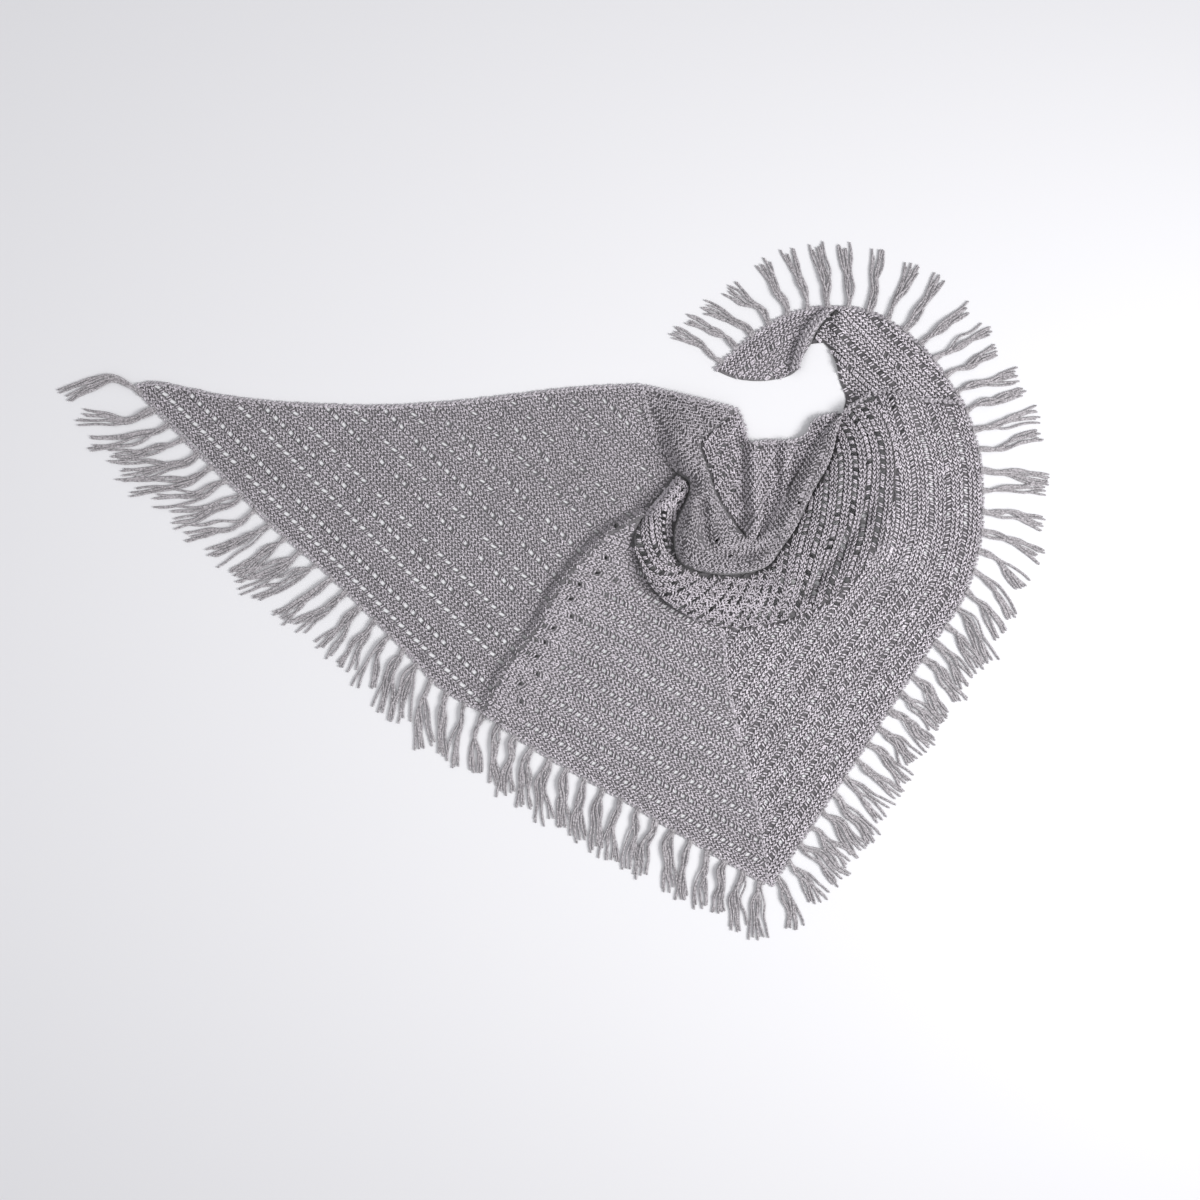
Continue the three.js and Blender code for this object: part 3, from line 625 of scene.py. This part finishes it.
# A stretch of cloth. Its span is along the rows and its reach across them. Every row of
# eyelets has a number, and the odd ones lean the other way.
def patch(name, run, outline, top, span, reach, own, nodes, skirt=None):
    eyelet = {**cloth, **own}
    bands = rowBands(reach[1] - reach[0], eyelet["groups"], eyelet["row"], eyelet["ridge"])
    left, eyeletLine = [], {}
    for low, high, isOpen in bands:
        if isOpen:
            number = len(eyeletLine)
            slit = eyelet["slit"] * (number % 2 == 0)
            rim = min(eyelet["rim"] + slit + eyelet["closing"] * number, mostRim)
            eyeletLine[len(left) + 1] = number
            left += [low, low + rim, high - rim]
        else:
            left.append(low)
    left.append(bands[-1][1])
    left = np.array(left) + reach[0]
    pitch, width = eyelet["pitch"], eyelet["width"]
    count = int((span[1] - span[0]) / pitch) + 1
    starts = span[0] + pitch * np.arange(count)
    along = np.stack([starts, starts + width], 1).ravel()
    narrower = rng.uniform(0, 1, (len(along), len(left))) * width
    for line, number in eyeletLine.items():
        narrower[:, line] *= min(narrowing["first"] + narrowing["perRow"] * number, narrowing["most"])
    filled = rng.random((len(along), len(left))) < eyelet["filled"]
    for line, number in eyeletLine.items():
        if number % 2 and "closedRows" in eyelet:
            filled[:, line] = rng.random(len(along)) < eyelet["closedRows"]
        if "fading" in eyelet:
            filled[:, line] |= rng.random(len(along)) < eyelet["fading"] * number

    def place(i, j):
        s, a = along[i], left[j].copy()
        for line, number in eyeletLine.items():
            tilt = eyelet["tilt"] * (1 if number % 2 == 0 else -1)
            rounder = eyelet["rounder"] if number % 2 else 0
            for edge in (line, line + 1):
                ends = (j == edge) & (i % 2 == 1)
                a = np.where(j == edge, a + np.where(i % 2 == 1, tilt, -tilt), a)
                s = np.where(ends, s - rounder - narrower[i, line], s)
        flat = run(s, a)
        used = insideOf(outline, flat)
        loop = np.concatenate([outline, outline[:1]])
        _, _, snapped = nearestOn(loop, flat)
        flat = np.where(used[:, None], flat, snapped)
        z = top(flat) - weave["backingSink"]
        return shifted(np.column_stack([flat, z])) * mm, used

    if "filledNear" in eyelet:
        line, distance = eyelet["filledNear"]
        i, j = np.meshgrid(np.arange(len(along)), np.arange(len(left)), indexing="ij")
        spots = run(along[i.ravel()], left[j.ravel()])
        near = nearestOn(line, spots)[0].reshape(i.shape) < distance
        filled |= near & (rng.random(near.shape) < nearShare)

    # A pit is an eyelet between the stitches with no hole in the backing, so the backing's painted shade
    # shows in it
    pits = rng.random((len(along), len(left))) < eyelet["pits"]

    def keepFace(low, used):
        isHole = low[1] in eyeletLine and low[0] % 2 == 0 and not filled[low] and not pits[low]
        return any(used) and not (isHole and all(used))

    base = gridSheet(name, along, left, place, keepFace, eyelet["backing"], outline, skirt)
    rows, middles = [], []
    fine = np.arange(span[0], span[1], sampleStep)
    for low, high, isOpen in bands:
        middle = (low + high) / 2 + reach[0]
        if isOpen:
            middles.append(middle)
        else:
            rows += runsInside(run(fine, np.full(len(fine), middle)), outline, top)
    centres, axes = stitchLegs(rows, eyelet["stitch"], weave["stitch"])
    threads = eyeletThreads(run, outline, top, middles, along, eyeletLine, filled)
    centres, axes = centres + threads[0], axes + threads[1]
    stitches = joinedSpindles(
        name + "Stitches", shifted(np.concatenate(centres)), np.concatenate(axes), eyelet["yarn"])
    finishSheet(base, stitches, nodes)


# The stitches keep clear of these lines, by an uneven distance, so that a crease stays open and the
# backing's painted shade shows along it
creaseEdge = {"least": 0.8, "swing": 0.35, "waves": (4.7, 3.9)}
creases = [
    {"line": rollOuter[5 * foldSteps:26 * foldSteps], "clear": 2.6},
    {"line": rollInner[3 * foldSteps:13 * foldSteps], "clear": 3.0},
    {"line": crescentOuter[3 * foldSteps:9 * foldSteps], "clear": 0.8},
    {"line": pinch, "clear": 1.5},
]


def clearOfCreases(flat):
    clear = np.ones(len(flat), bool)
    waveX, waveY = creaseEdge["waves"]
    swing = creaseEdge["swing"] * np.sin(flat[:, 0] / waveX) * np.sin(flat[:, 1] / waveY)
    for crease in creases:
        clear &= nearestOn(crease["line"], flat)[0] > crease["clear"] * (creaseEdge["least"] + swing)
    return clear


def runsInside(flat, outline, top):
    keep = insideOf(outline, flat) & clearOfCreases(flat)
    runs = []
    edges = np.flatnonzero(np.diff(np.concatenate([[0], keep.astype(int), [0]])))
    for start, end in zip(edges[::2], edges[1::2]):
        if end - start < 3:
            continue
        points = flat[start:end]
        z = top(points) - weave["stitchSink"]
        runs.append((np.column_stack([points, z]), surfaceNormals(top, points)))
    return runs


# Threads on an open row, by their share across and along the row, half length and offset:
# two bars between eyelets, or two pairs of legs over a place without one
barThreads = [(0.93, 0.36, 3.7, 0.0)]
closedThreads = [(0.5, 0.87, 3.1, 1.2), (-0.5, 0.87, 3.1, -1.2)]
threadForm = {"width": 1.25, "height": 1.4, "bars": (0.2, 0.8), "legs": (0.15, 0.85)}


def eyeletThreads(run, outline, top, middles, along, eyeletLine, filled):
    centres, axes = [], []
    starts, ends = along[1:-1:2], along[2::2]
    between = [starts + (ends - starts) * share for share in threadForm["bars"]]
    for (line, number), middle in zip(eyeletLine.items(), middles):
        tilt = 1 if number % 2 == 0 else -1
        closed = 2 * np.flatnonzero(filled[0:-1:2, line])
        widths = along[closed + 1] - along[closed]
        over = [along[closed] + widths * share for share in threadForm["legs"]]
        for places, threads in ((between, barThreads), (over, closedThreads)):
            s = np.concatenate(places)
            flat = run(s, np.full(len(s), middle))
            keep = insideOf(outline, flat) & clearOfCreases(flat)
            if not keep.any():
                continue
            flat = flat[keep]
            ahead = run(s[keep] + 1, np.full(keep.sum(), middle)) - flat
            normal = surfaceNormals(top, flat)
            way = np.column_stack([ahead, np.zeros(len(flat))])
            way /= np.linalg.norm(way, axis=1)[:, None]
            side = np.cross(normal, way)
            for sideShare, wayShare, half, offset in threads:
                leg = side * sideShare + way * wayShare * tilt
                across = np.cross(normal, leg)
                centre = np.column_stack([flat, top(flat) - weave["threadSink"]]) + side * offset
                centres.append(centre)
                axes.append(np.stack([
                    leg * half,
                    across * threadForm["width"],
                    normal * threadForm["height"],
                ], 1))
    return centres, axes


def finishSheet(base, stitches, nodes):
    for piece in (base, stitches):
        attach(piece, "root")
        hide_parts(*nodes)


# Floor, light and camera, in metres
floorShape = {
    "size": 14.0, "drop": 0.0002,
    "colour": (0.725, 0.72, 0.735, 1), "roughness": 0.8, "specular": 0.2,
}


def addFloor():
    bm = bmesh.new()
    bmesh.ops.create_grid(bm, x_segments=1, y_segments=1, size=floorShape["size"] / 2)
    bmesh.ops.translate(bm, verts=bm.verts, vec=(0, 0, -floorShape["drop"]))
    mesh = bpy.data.meshes.new("floor")
    bm.to_mesh(mesh)
    bm.free()
    material = bpy.data.materials.new("paleFloor")
    material.use_nodes = True
    shader = material.node_tree.nodes["Principled BSDF"]
    shader.inputs["Base Color"].default_value = floorShape["colour"]
    shader.inputs["Roughness"].default_value = floorShape["roughness"]
    shader.inputs["Specular IOR Level"].default_value = floorShape["specular"]
    floor = addObject("floor", mesh, material)


lights = [
    {"name": "key", "place": (2.5, -0.55, 2.15), "aim": (0.3, 0, 0), "size": 1.4, "power": 22.4,
     "spread": 80},
    {"name": "fill", "place": (-1.1, -0.1, 2.9), "aim": (-0.5, 0, 0), "size": 2.2, "power": 26,
     "spread": 180},
]
sky = {"colour": (0.95, 0.96, 1.0, 1), "strength": 0.48}


def addLights():
    for item in lights:
        data = bpy.data.lights.new(item["name"], "AREA")
        data.shape = "SQUARE"
        data.size = item["size"]
        data.energy = item["power"]
        data.spread = math.radians(item["spread"])
        lamp = bpy.data.objects.new(item["name"], data)
        bpy.context.scene.collection.objects.link(lamp)
        aimAt(lamp, item["place"], item["aim"])
    world = bpy.data.worlds.new("studio")
    world.use_nodes = True
    background = world.node_tree.nodes["Background"]
    background.inputs["Color"].default_value = sky["colour"]
    background.inputs["Strength"].default_value = sky["strength"]
    bpy.context.scene.world = world
    bpy.context.scene.view_settings.view_transform = "Standard"


def aimAt(item, place, aim):
    item.location = place
    way = Vector(aim) - Vector(place)
    item.rotation_euler = way.to_track_quat("-Z", "Y").to_euler()


view = {"middle": (0.0634, -0.011), "width": 1.62, "lens": 50.0, "sensor": 36.0}


def addCamera():
    data = bpy.data.cameras.new("above")
    data.lens = view["lens"]
    data.sensor_width = view["sensor"]
    camera = bpy.data.objects.new("above", data)
    bpy.context.scene.collection.objects.link(camera)
    height = view["width"] * view["lens"] / view["sensor"]
    camera.location = (*view["middle"], height)
    bpy.context.scene.camera = camera


addFloor()
addLights()
addCamera()
print("floor, light and camera are set")


# The heights of the stretches of cloth. The left wing climbs to the crest of the tuck.
def leftTop(points):
    return clothThickness + ridgeHeight(tuckClimb, tuck, points)


def centreTop(points):
    return clothThickness + ridgeHeight(tuckRidge, tuck, points)


def rightTop(points):
    wing = clothThickness + ridgeHeight(kneeRidge, knee, points)
    return wing + ownRidge(rightSwell, points) + ownRidge(outerSwell, points)


def upperTop(points):
    raised = ridgeHeight(kneeUnder, knee, points) + ownRidge(standingRidge, points)
    return clothThickness + np.maximum(raised, ownRidge(upperSwell, points))


def tipTop(points):
    return clothThickness + ownRidge(braidRidge, points) + ownRidge(tipSwell, points)


def pouchTop(points):
    t = np.clip((pouchSlope["top"] - points[:, 1]) / (pouchSlope["top"] - pouchSlope["bottom"]), 0, 1)
    down = t * t * (3 - 2 * t)
    base = pouchSlope["low"] + (pouchSlope["high"] - pouchSlope["low"]) * down
    bank = ridgeHeight(pouchBank, pouchSide, points)
    return base + np.maximum(bank, np.maximum(*[ownRidge(fold, points) for fold in pouchFolds]))


wingLeftOutline = closedOutline(
    selvage, rollOuter[:crescentStart * foldSteps + 1], crescentOuter[:crescentLeftEnd + 1],
    tuck[::-1], hemLeft[::-1])
centreOutline = closedOutline(
    hemCentre, spine, crescentOuter[crescentLeftEnd:crescentSpine + 1][::-1], tuck[::-1])
wingRightOutline = closedOutline(hemRight, knee[::-1], crescentOuter[crescentSpine:][::-1], spine[::-1])
upperOutline = closedOutline(
    knee, hemTop, pinch[::-1], innerRight[::-1], np.array([[393, 241], [433, 267]]))
tipOutline = closedOutline(hemTip, selvageTip, pinch)
pouchOutline = closedOutline(pouchEdge, rollInner[::-1])
# The rows of each part run beside these lines
leftGuide = np.array([[-560.0, 277.0], [-350.0, 70.0], [-140.0, -134.0]])
centreGuide = np.array([[-89.0, -168.0], [296.0, -396.0]])
upperGuide = np.array([[590.0, 245.0], [375.0, 455.0]])
pouchGuide = np.array([[330.0, 40.0], [445.0, 224.0]])


# By the tuck, the rows are drawn down to the hem, from a share of the tuck on
draw = {"depth": 16, "from": 0.1, "fade": 38, "way": (0.5, 0.86)}


def drawnDown(flat):
    distance, share, _ = nearestOn(tuck, flat)
    place = np.clip((share - draw["from"]) / (1 - draw["from"]), 0, 1)
    depth = draw["depth"] * np.sin(np.pi * place) * np.exp(-distance / draw["fade"])
    return flat - np.column_stack([part * depth for part in draw["way"]])


patch("wingLeft", rowsBeside(leftGuide), wingLeftOutline, leftTop, (-40, 920), (0, 490),
      {"yarn": paintedShadeLeftYarn, "groups": [3, 3, 5, 3, 3, 5, 3, 4], "fading": 0.045, "row": 6.7,
       "rim": 0.1, "slit": 0.9, "closing": 0.1, "pitch": 14.4, "width": 8.6, "rounder": 1.6},
      ["wing_left"])
print("left wing laid")
patch("centreLeft", rowsBeside(centreGuide, drawnDown), centreOutline, centreTop, (-110, 560), (0, 350),
      {"filledNear": (tuck, 60), "rim": 0.7, "closing": 0.04,
       "pitch": 12.7, "width": 5.4, "rounder": 0.6},
      ["centre_left"])
print("centre laid")
patch("wingRight", rowsBeside(hemRight), wingRightOutline, rightTop, (-60, 860), (0, 330),
      {"backing": deeperPaintedShadeBacking, "yarn": paintedLightRightYarn, "pits": 0.6,
       "row": 6.4, "rim": 0.6, "width": 4.8},
      ["wing_right"])
patch("wingRightTop", rowsBeside(upperGuide), upperOutline, upperTop, (-80, 380), (0, 270),
      {"backing": deepestPaintedShadeBacking, "yarn": paintedLightRightYarn, "pits": 0.9, "filled": 0.12,
       "closedRows": 0.9, "row": 7.0, "rim": 0.2, "width": 5.8, "tilt": 1.2},
      ["wing_right_top"])
patch("tipRight", rowsBeside(hemTip), tipOutline, tipTop, (-40, 260), (0, 110),
      {"groups": [4], "filled": 0.6, "rim": 0.75, "closing": 0.1, "width": 3.6, "rounder": 0.6},
      ["tip_right"])
print("right wing laid")
patch("pouch", rowsBeside(pouchGuide), pouchOutline, pouchTop, (-160, 380), (0, 260),
      {"backing": deeperPaintedShadeBacking, "stitch": looseStitch, "filled": 0.7,
       "ridge": 5.0, "row": 6.0, "rim": 0.3, "closing": 0.05, "width": 5.6, "rounder": 0.6},
      ["fold_pouch"])
print("pouch laid")


# The height over a fold's sections, at any point in plan
leastWidth = 0.5


def foldTop(outer, inner, heights):
    way = inner - outer
    width = np.maximum(np.linalg.norm(way, axis=1), leastWidth)
    way = way / width[:, None]

    def top(points):
        rel = points[:, None, :] - outer[None]
        t = np.clip((rel * way).sum(2) / width, 0, 1)
        side = rel[..., 0] * way[:, 1] - rel[..., 1] * way[:, 0]
        gap = np.linalg.norm(rel - (t * width)[..., None] * way, axis=2)
        each = np.arange(len(points))
        i = gap.argmin(1)
        after, before = np.minimum(i + 1, len(outer) - 1), np.maximum(i - 1, 0)
        here = side[each, i]
        other = np.where(side[each, before] * here < 0, before, i)
        j = np.where(side[each, after] * here < 0, after, other)
        share = np.abs(here) / (np.abs(here) + np.abs(side[each, j]) + 1e-6)
        z = []
        for k in (i, j):
            own = {name: values[k] for name, values in heights.items()}
            z.append(foldSurface(outer[k], inner[k], own, t[each, k])[:, 2])
        return z[0] * (1 - share) + z[1] * share

    return top


# The roll and the crescent. A table gives a value by the row of the sections.
def alongRows(table, count):
    rows = np.arange(count) / foldSteps
    return np.interp(rows, [row for row, _ in table], [value for _, value in table])


rollHeights = {
    "outer": rollRows[:, 4], "crown": rollRows[:, 5], "place": rollRows[:, 6], "inner": rollRows[:, 7],
    "softOuter": alongRows([(0, 1), (3, 0.9), (5, 0.2), (12, 0.2), (14, 0)], len(rollRows)),
    "softInner": alongRows([(6, 0), (10, 0.6), (25, 0.8)], len(rollRows)),
}
crescentHeights = {
    "outer": crescentRows[:, 2], "crown": crescentRows[:, 3], "place": crescentRows[:, 4],
    "inner": crescentRows[:, 5], "softOuter": np.clip(crescentRows[:, 6], 0, 1),
    "softInner": alongRows([(1, 0), (3, 0.85), (11, 0.8), (14, 0.2), (22, 0)], len(crescentRows)),
}
rollRound = foldTop(rollOuter, rollInner, rollHeights)
rollDip = {"heights": [-14, -9], "fall": 15}
rollDipLine = (rollOuter + rollInner)[8 * foldSteps:19 * foldSteps] / 2


def rollTop(points):
    return rollRound(points) + ridgeHeight(rollDip, rollDipLine, points)


rollOutline = closedOutline(rollOuter, rollInner[::-1])
rollSlants = [(0, 33), (4, 25), (8, 0), (27, 0)]
patch("roll", rowsAcross(rollOuter, rollInner, rollHeights, rollSlants), rollOutline,
      rollTop, (0, 700), (-120, 140),
      {"backing": deeperPaintedShadeBacking, "yarn": paintedShadeRollYarn, "stitch": looseStitch,
       "pits": 0.85, "filled": 0.6, "rim": 0.6, "width": 4.4},
      ["fold_roll"], skirt=3.0)
crescentInner = rollOuter[crescentStart * foldSteps:]
crescentOutline = closedOutline(crescentOuter, crescentInner[::-1])
crescentSlants = [
    (0, 0), (5, 8), (7, 46), (8, 58), (10, 58), (12, 54), (14, 38), (16, 14), (18, 4), (22, 0),
]
crescentRound = foldTop(crescentOuter, crescentInner, crescentHeights)


def crescentTop(points):
    return crescentRound(points) + ownRidge(crescentValley, points)


patch("crescent", rowsAcross(crescentOuter, crescentInner, crescentHeights, crescentSlants),
      crescentOutline, crescentTop, (0, 760), (-480, 150),
      {"backing": deepestPaintedShadeBacking, "groups": [2], "filled": 0.06, "closedRows": 0.55,
       "row": 8.2, "rim": 0.1, "width": 7.2, "tilt": 1.5},
      ["fold_crescent"], skirt=3.0)
print("roll and crescent laid")

# The fringe: distance along the hem, the way the tassels point, their length
fringeLeft = np.array([
    [0, 184, 112], [27, 186, 108], [54, 189, 110], [81, 195, 112], [108, 197, 106], [162, 196, 110],
    [216, 199, 104], [243, 207, 96], [275, 213, 92], [330, 211, 96], [400, 213, 90], [430, 231, 78],
    [480, 243, 84], [520, 251, 90], [580, 258, 92], [650, 262, 88], [850, 262, 86], [1050, 264, 80],
    [1094, 270, 78],
], float)
fringeRight = np.array([
    [0, 290, 74], [30, 305, 76], [60, 318, 78], [90, 317, 80], [150, 315, 84], [243, 314, 74],
    [353, 309, 76], [438, 304, 82], [478, 310, 84], [512, 320, 84], [554, 337, 88], [594, 350, 91],
    [641, 361, 91], [687, 371, 88], [734, 378, 86], [773, 385, 86], [813, 392, 86], [844, 409, 86],
    [874, 418, 84], [900, 440, 86], [927, 446, 88], [957, 450, 88], [981, 469, 86], [1009, 475, 88],
    [1036, 492, 80], [1062, 505, 78], [1088, 509, 78], [1146, 514, 78],
], float)
# How wide the tassels of each hem splay, by distance along it
splayLeft = np.array([[0, 11], [300, 16], [560, 13], [650, 10], [1100, 11]], float)
splayRight = np.array([[0, 14], [300, 12], [500, 11], [800, 9], [1150, 10]], float)
tassel = {
    "pitch": 27.5, "strands": 7, "locks": 4, "points": 14, "radius": 1.45, "endShare": 0.75,
    "clear": 0.3, "rootLift": 1.6, "layerLift": 2.6, "layerStart": 0.15,
    "overHem": 1.5, "outward": 0.3, "ahead": 0.12, "angleScatter": 4.5,
    "lengthShares": (0.93, 1.05), "splayShares": (0.75, 1.25), "strandLengths": (0.9, 1.03),
    "rootWidth": 3.4, "lockShare": 0.85, "strandShare": 0.36, "parting": 1.1,
}
# A strand sways with its tassel, its lock and a little by itself: how far and how fast
sway = {
    "wave": 3.8, "rise": 1.3, "tassel": (0.3, 1.0), "tasselRate": 5, "lock": 0.8, "lockRate": 7.5,
    "strand": 1.7, "strandRate": 7, "strandRateScatter": 5,
}
fullTurn = 6.28


# The first tassel of a hem can bow outward, round the shawl's tip
def addFringe(name, hem, table, splay, nodes, firstBow=0):
    sums = lengthsOf(hem)
    count = round(sums[-1] / tassel["pitch"])
    pitch = sums[-1] / count
    curve = bpy.data.curves.new(name, "CURVE")
    curve.dimensions = "3D"
    curve.bevel_depth = tassel["radius"] * mm
    curve.bevel_resolution = 1
    curve.use_fill_caps = True
    curve.resolution_u = 1
    for k in range(count):
        at = (k + 0.5) * pitch
        angle, length = (np.interp(at, table[:, 0], table[:, c]) for c in (1, 2))
        angle = math.radians(angle + rng.normal(0, tassel["angleScatter"]))
        length = length * rng.uniform(*tassel["lengthShares"])
        over = tassel["overHem"]
        root, beyond = beside(hem, np.array([at, at]), np.array([-over, -over - 1]))
        outward = beyond - root
        ahead = np.array([math.cos(angle), math.sin(angle)])
        tip = root + ahead * length
        bend = root + (outward * tassel["outward"] + ahead * tassel["ahead"]) * length
        if k == 0:
            bend = bend + np.array([0, firstBow])
        wide = np.interp(at, splay[:, 0], splay[:, 1]) * rng.uniform(*tassel["splayShares"])
        addTassel(curve, root, bend, tip, wide)
    carrier = bpy.data.objects.new(name + "Curve", curve)
    bpy.context.scene.collection.objects.link(carrier)
    bpy.context.view_layer.update()
    mesh = bpy.data.meshes.new_from_object(carrier.evaluated_get(bpy.context.evaluated_depsgraph_get()))
    bpy.data.objects.remove(carrier)
    mesh.name = name
    mesh.materials.clear()
    piece = addSmooth(name, mesh, fringeYarn)
    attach(piece, "root")
    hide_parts(*nodes)


# Strands leave the knot side by side, gather, and part in locks of two or three
def addTassel(curve, root, bend, tip, wide):
    strands, locks = tassel["strands"], tassel["locks"]
    t = np.linspace(0, 1, tassel["points"])
    middle = ((1 - t) ** 2)[:, None] * root + (2 * t * (1 - t))[:, None] * bend + (t**2)[:, None] * tip
    way = np.gradient(middle, axis=0)
    way /= np.linalg.norm(way, axis=1)[:, None]
    side = np.column_stack([-way[:, 1], way[:, 0]])
    turn, amount = rng.uniform(0, fullTurn), rng.uniform(*sway["tassel"])
    lockTurns = rng.uniform(0, fullTurn, locks)
    lockShares = rng.permutation(np.linspace(-tassel["lockShare"], tassel["lockShare"], locks))
    for k in range(strands):
        lock = k * locks // strands
        share = (k + 0.5) / strands * 2 - 1
        own = lockShares[lock] + rng.uniform(-tassel["strandShare"], tassel["strandShare"])
        spread = (1 - t) ** 2 * share * tassel["rootWidth"] + t ** tassel["parting"] * own * wide
        shared = sway["wave"] * np.sin(np.pi * np.minimum(t * sway["rise"], 1)) * (
            amount * np.sin(sway["tasselRate"] * t + turn)
            + sway["lock"] * np.sin(sway["lockRate"] * t + lockTurns[lock]))
        rate = sway["strandRate"] + sway["strandRateScatter"] * rng.random()
        loose = sway["strand"] * t * np.sin(rate * t + rng.uniform(0, fullTurn))
        reach = rng.uniform(*tassel["strandLengths"])
        flat = middle[0] + (middle - middle[0]) * reach + side * (spread + shared + loose)[:, None]
        layer = rng.uniform(0, 1) * tassel["layerLift"]
        lift = tassel["rootLift"] * (1 - t) ** 2
        lift = lift + layer * np.sin(np.pi * np.minimum(t + tassel["layerStart"], 1))
        z = tassel["radius"] + tassel["clear"] + lift
        spline = curve.splines.new("POLY")
        spline.points.add(len(t) - 1)
        for point, place in zip(spline.points, shifted(np.column_stack([flat, z])) * mm):
            point.co = (*place, 1)
            point.radius = 1
        spline.points[-1].radius = tassel["endShare"]


wholeLeft = np.concatenate([hemLeft, hemCentre[1:]])
wholeRight = np.concatenate([hemRight, hemTop[1:], hemTip[1:]])
addFringe("tasselsLeft", wholeLeft, fringeLeft, splayLeft,
          [f"fringe_left_{k}" for k in range(1, 7)], firstBow=62)
addFringe("tasselsRight", wholeRight, fringeRight, splayRight,
          [f"fringe_right_{k}" for k in range(1, 7)])
print("fringe laid")

# A chained edging over the hems and the selvage
edging = {"half": 3.6, "width": 1.9, "height": 1.9, "lean": 24, "apart": 1.4, "unevenness": 0.1}
edgingPitch = 6.4
edgeLift = {"hemSink": 0.4, "selvage": 2.6, "endSink": 0.6, "braid": 1.5}


def addEdging(name, lines, lift):
    rows = []
    for line in lines:
        sums = lengthsOf(line)
        flat = sampled(line, sums, np.arange(0, sums[-1], sampleStep))
        normal = np.tile([0.0, 0.0, 1.0], (len(flat), 1))
        rows.append((np.column_stack([flat, lift(flat)]), normal))
    centres, axes = stitchLegs(rows, edging, edgingPitch)
    piece = joinedSpindles(name, shifted(np.concatenate(centres)), np.concatenate(axes), edgingYarn)
    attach(piece, "root")


def parallel(line, left):
    return beside(line, lengthsOf(line), np.full(len(line), left))


def hemLift(points):
    onWing = points[:, 0] < tuck[0, 0]
    return np.where(onWing, leftTop(points), centreTop(points)) - edgeLift["hemSink"]


addEdging("hemEdging", [parallel(line, -tassel["overHem"]) for line in (wholeLeft, wholeRight)], hemLift)
addEdging("selvageEdging", [selvage], lambda points: np.full(len(points), edgeLift["selvage"]))


# Single rows of stitches over the lines where the rows turn. They follow the wing at the knee,
# have a least height at the knee's corner and at the roll's start, and sink along the spine.
kneeCorner = np.array([[393.0, 241.0], [410.0, 252.0], [433.0, 267.0]])
seam = {
    "wingFrom": 420,
    "corner": {"x": 380, "y": 200, "height": 14},
    "rollStart": {"x": 200, "height": 4.2},
    "spineEnd": -40, "spineSink": 0.9, "sink": 0.1,
}


def seamLift(points):
    x, y = points[:, 0], points[:, 1]
    corner, start = seam["corner"], seam["rollStart"]
    wing = np.where(x > seam["wingFrom"], rightTop(points), clothThickness)
    wing = np.where((x > corner["x"]) & (y > corner["y"]), np.maximum(wing, corner["height"]), wing)
    wing = np.maximum(wing, np.where(x < start["x"], start["height"], 0))
    return wing - np.where(y < seam["spineEnd"], seam["spineSink"], seam["sink"])


addEdging("turningRows", [spine, knee, kneeCorner, rollOuter[:4 * foldSteps]], seamLift)
rollEnd = np.linspace(rollOuter[0], rollInner[0], 12)
addEdging("pouchEdging", [pouchEdge], lambda points: pouchTop(points) - edgeLift["endSink"])
addEdging("rollEdging", [rollEnd], lambda points: rollTop(points) - edgeLift["endSink"])
braidLine, braidPitch = plan(braidRidge["line"]), 5.0
addEdging("braid", [braidLine, parallel(braidLine, braidPitch)],
          lambda points: tipTop(points) + edgeLift["braid"])
print("edging laid")
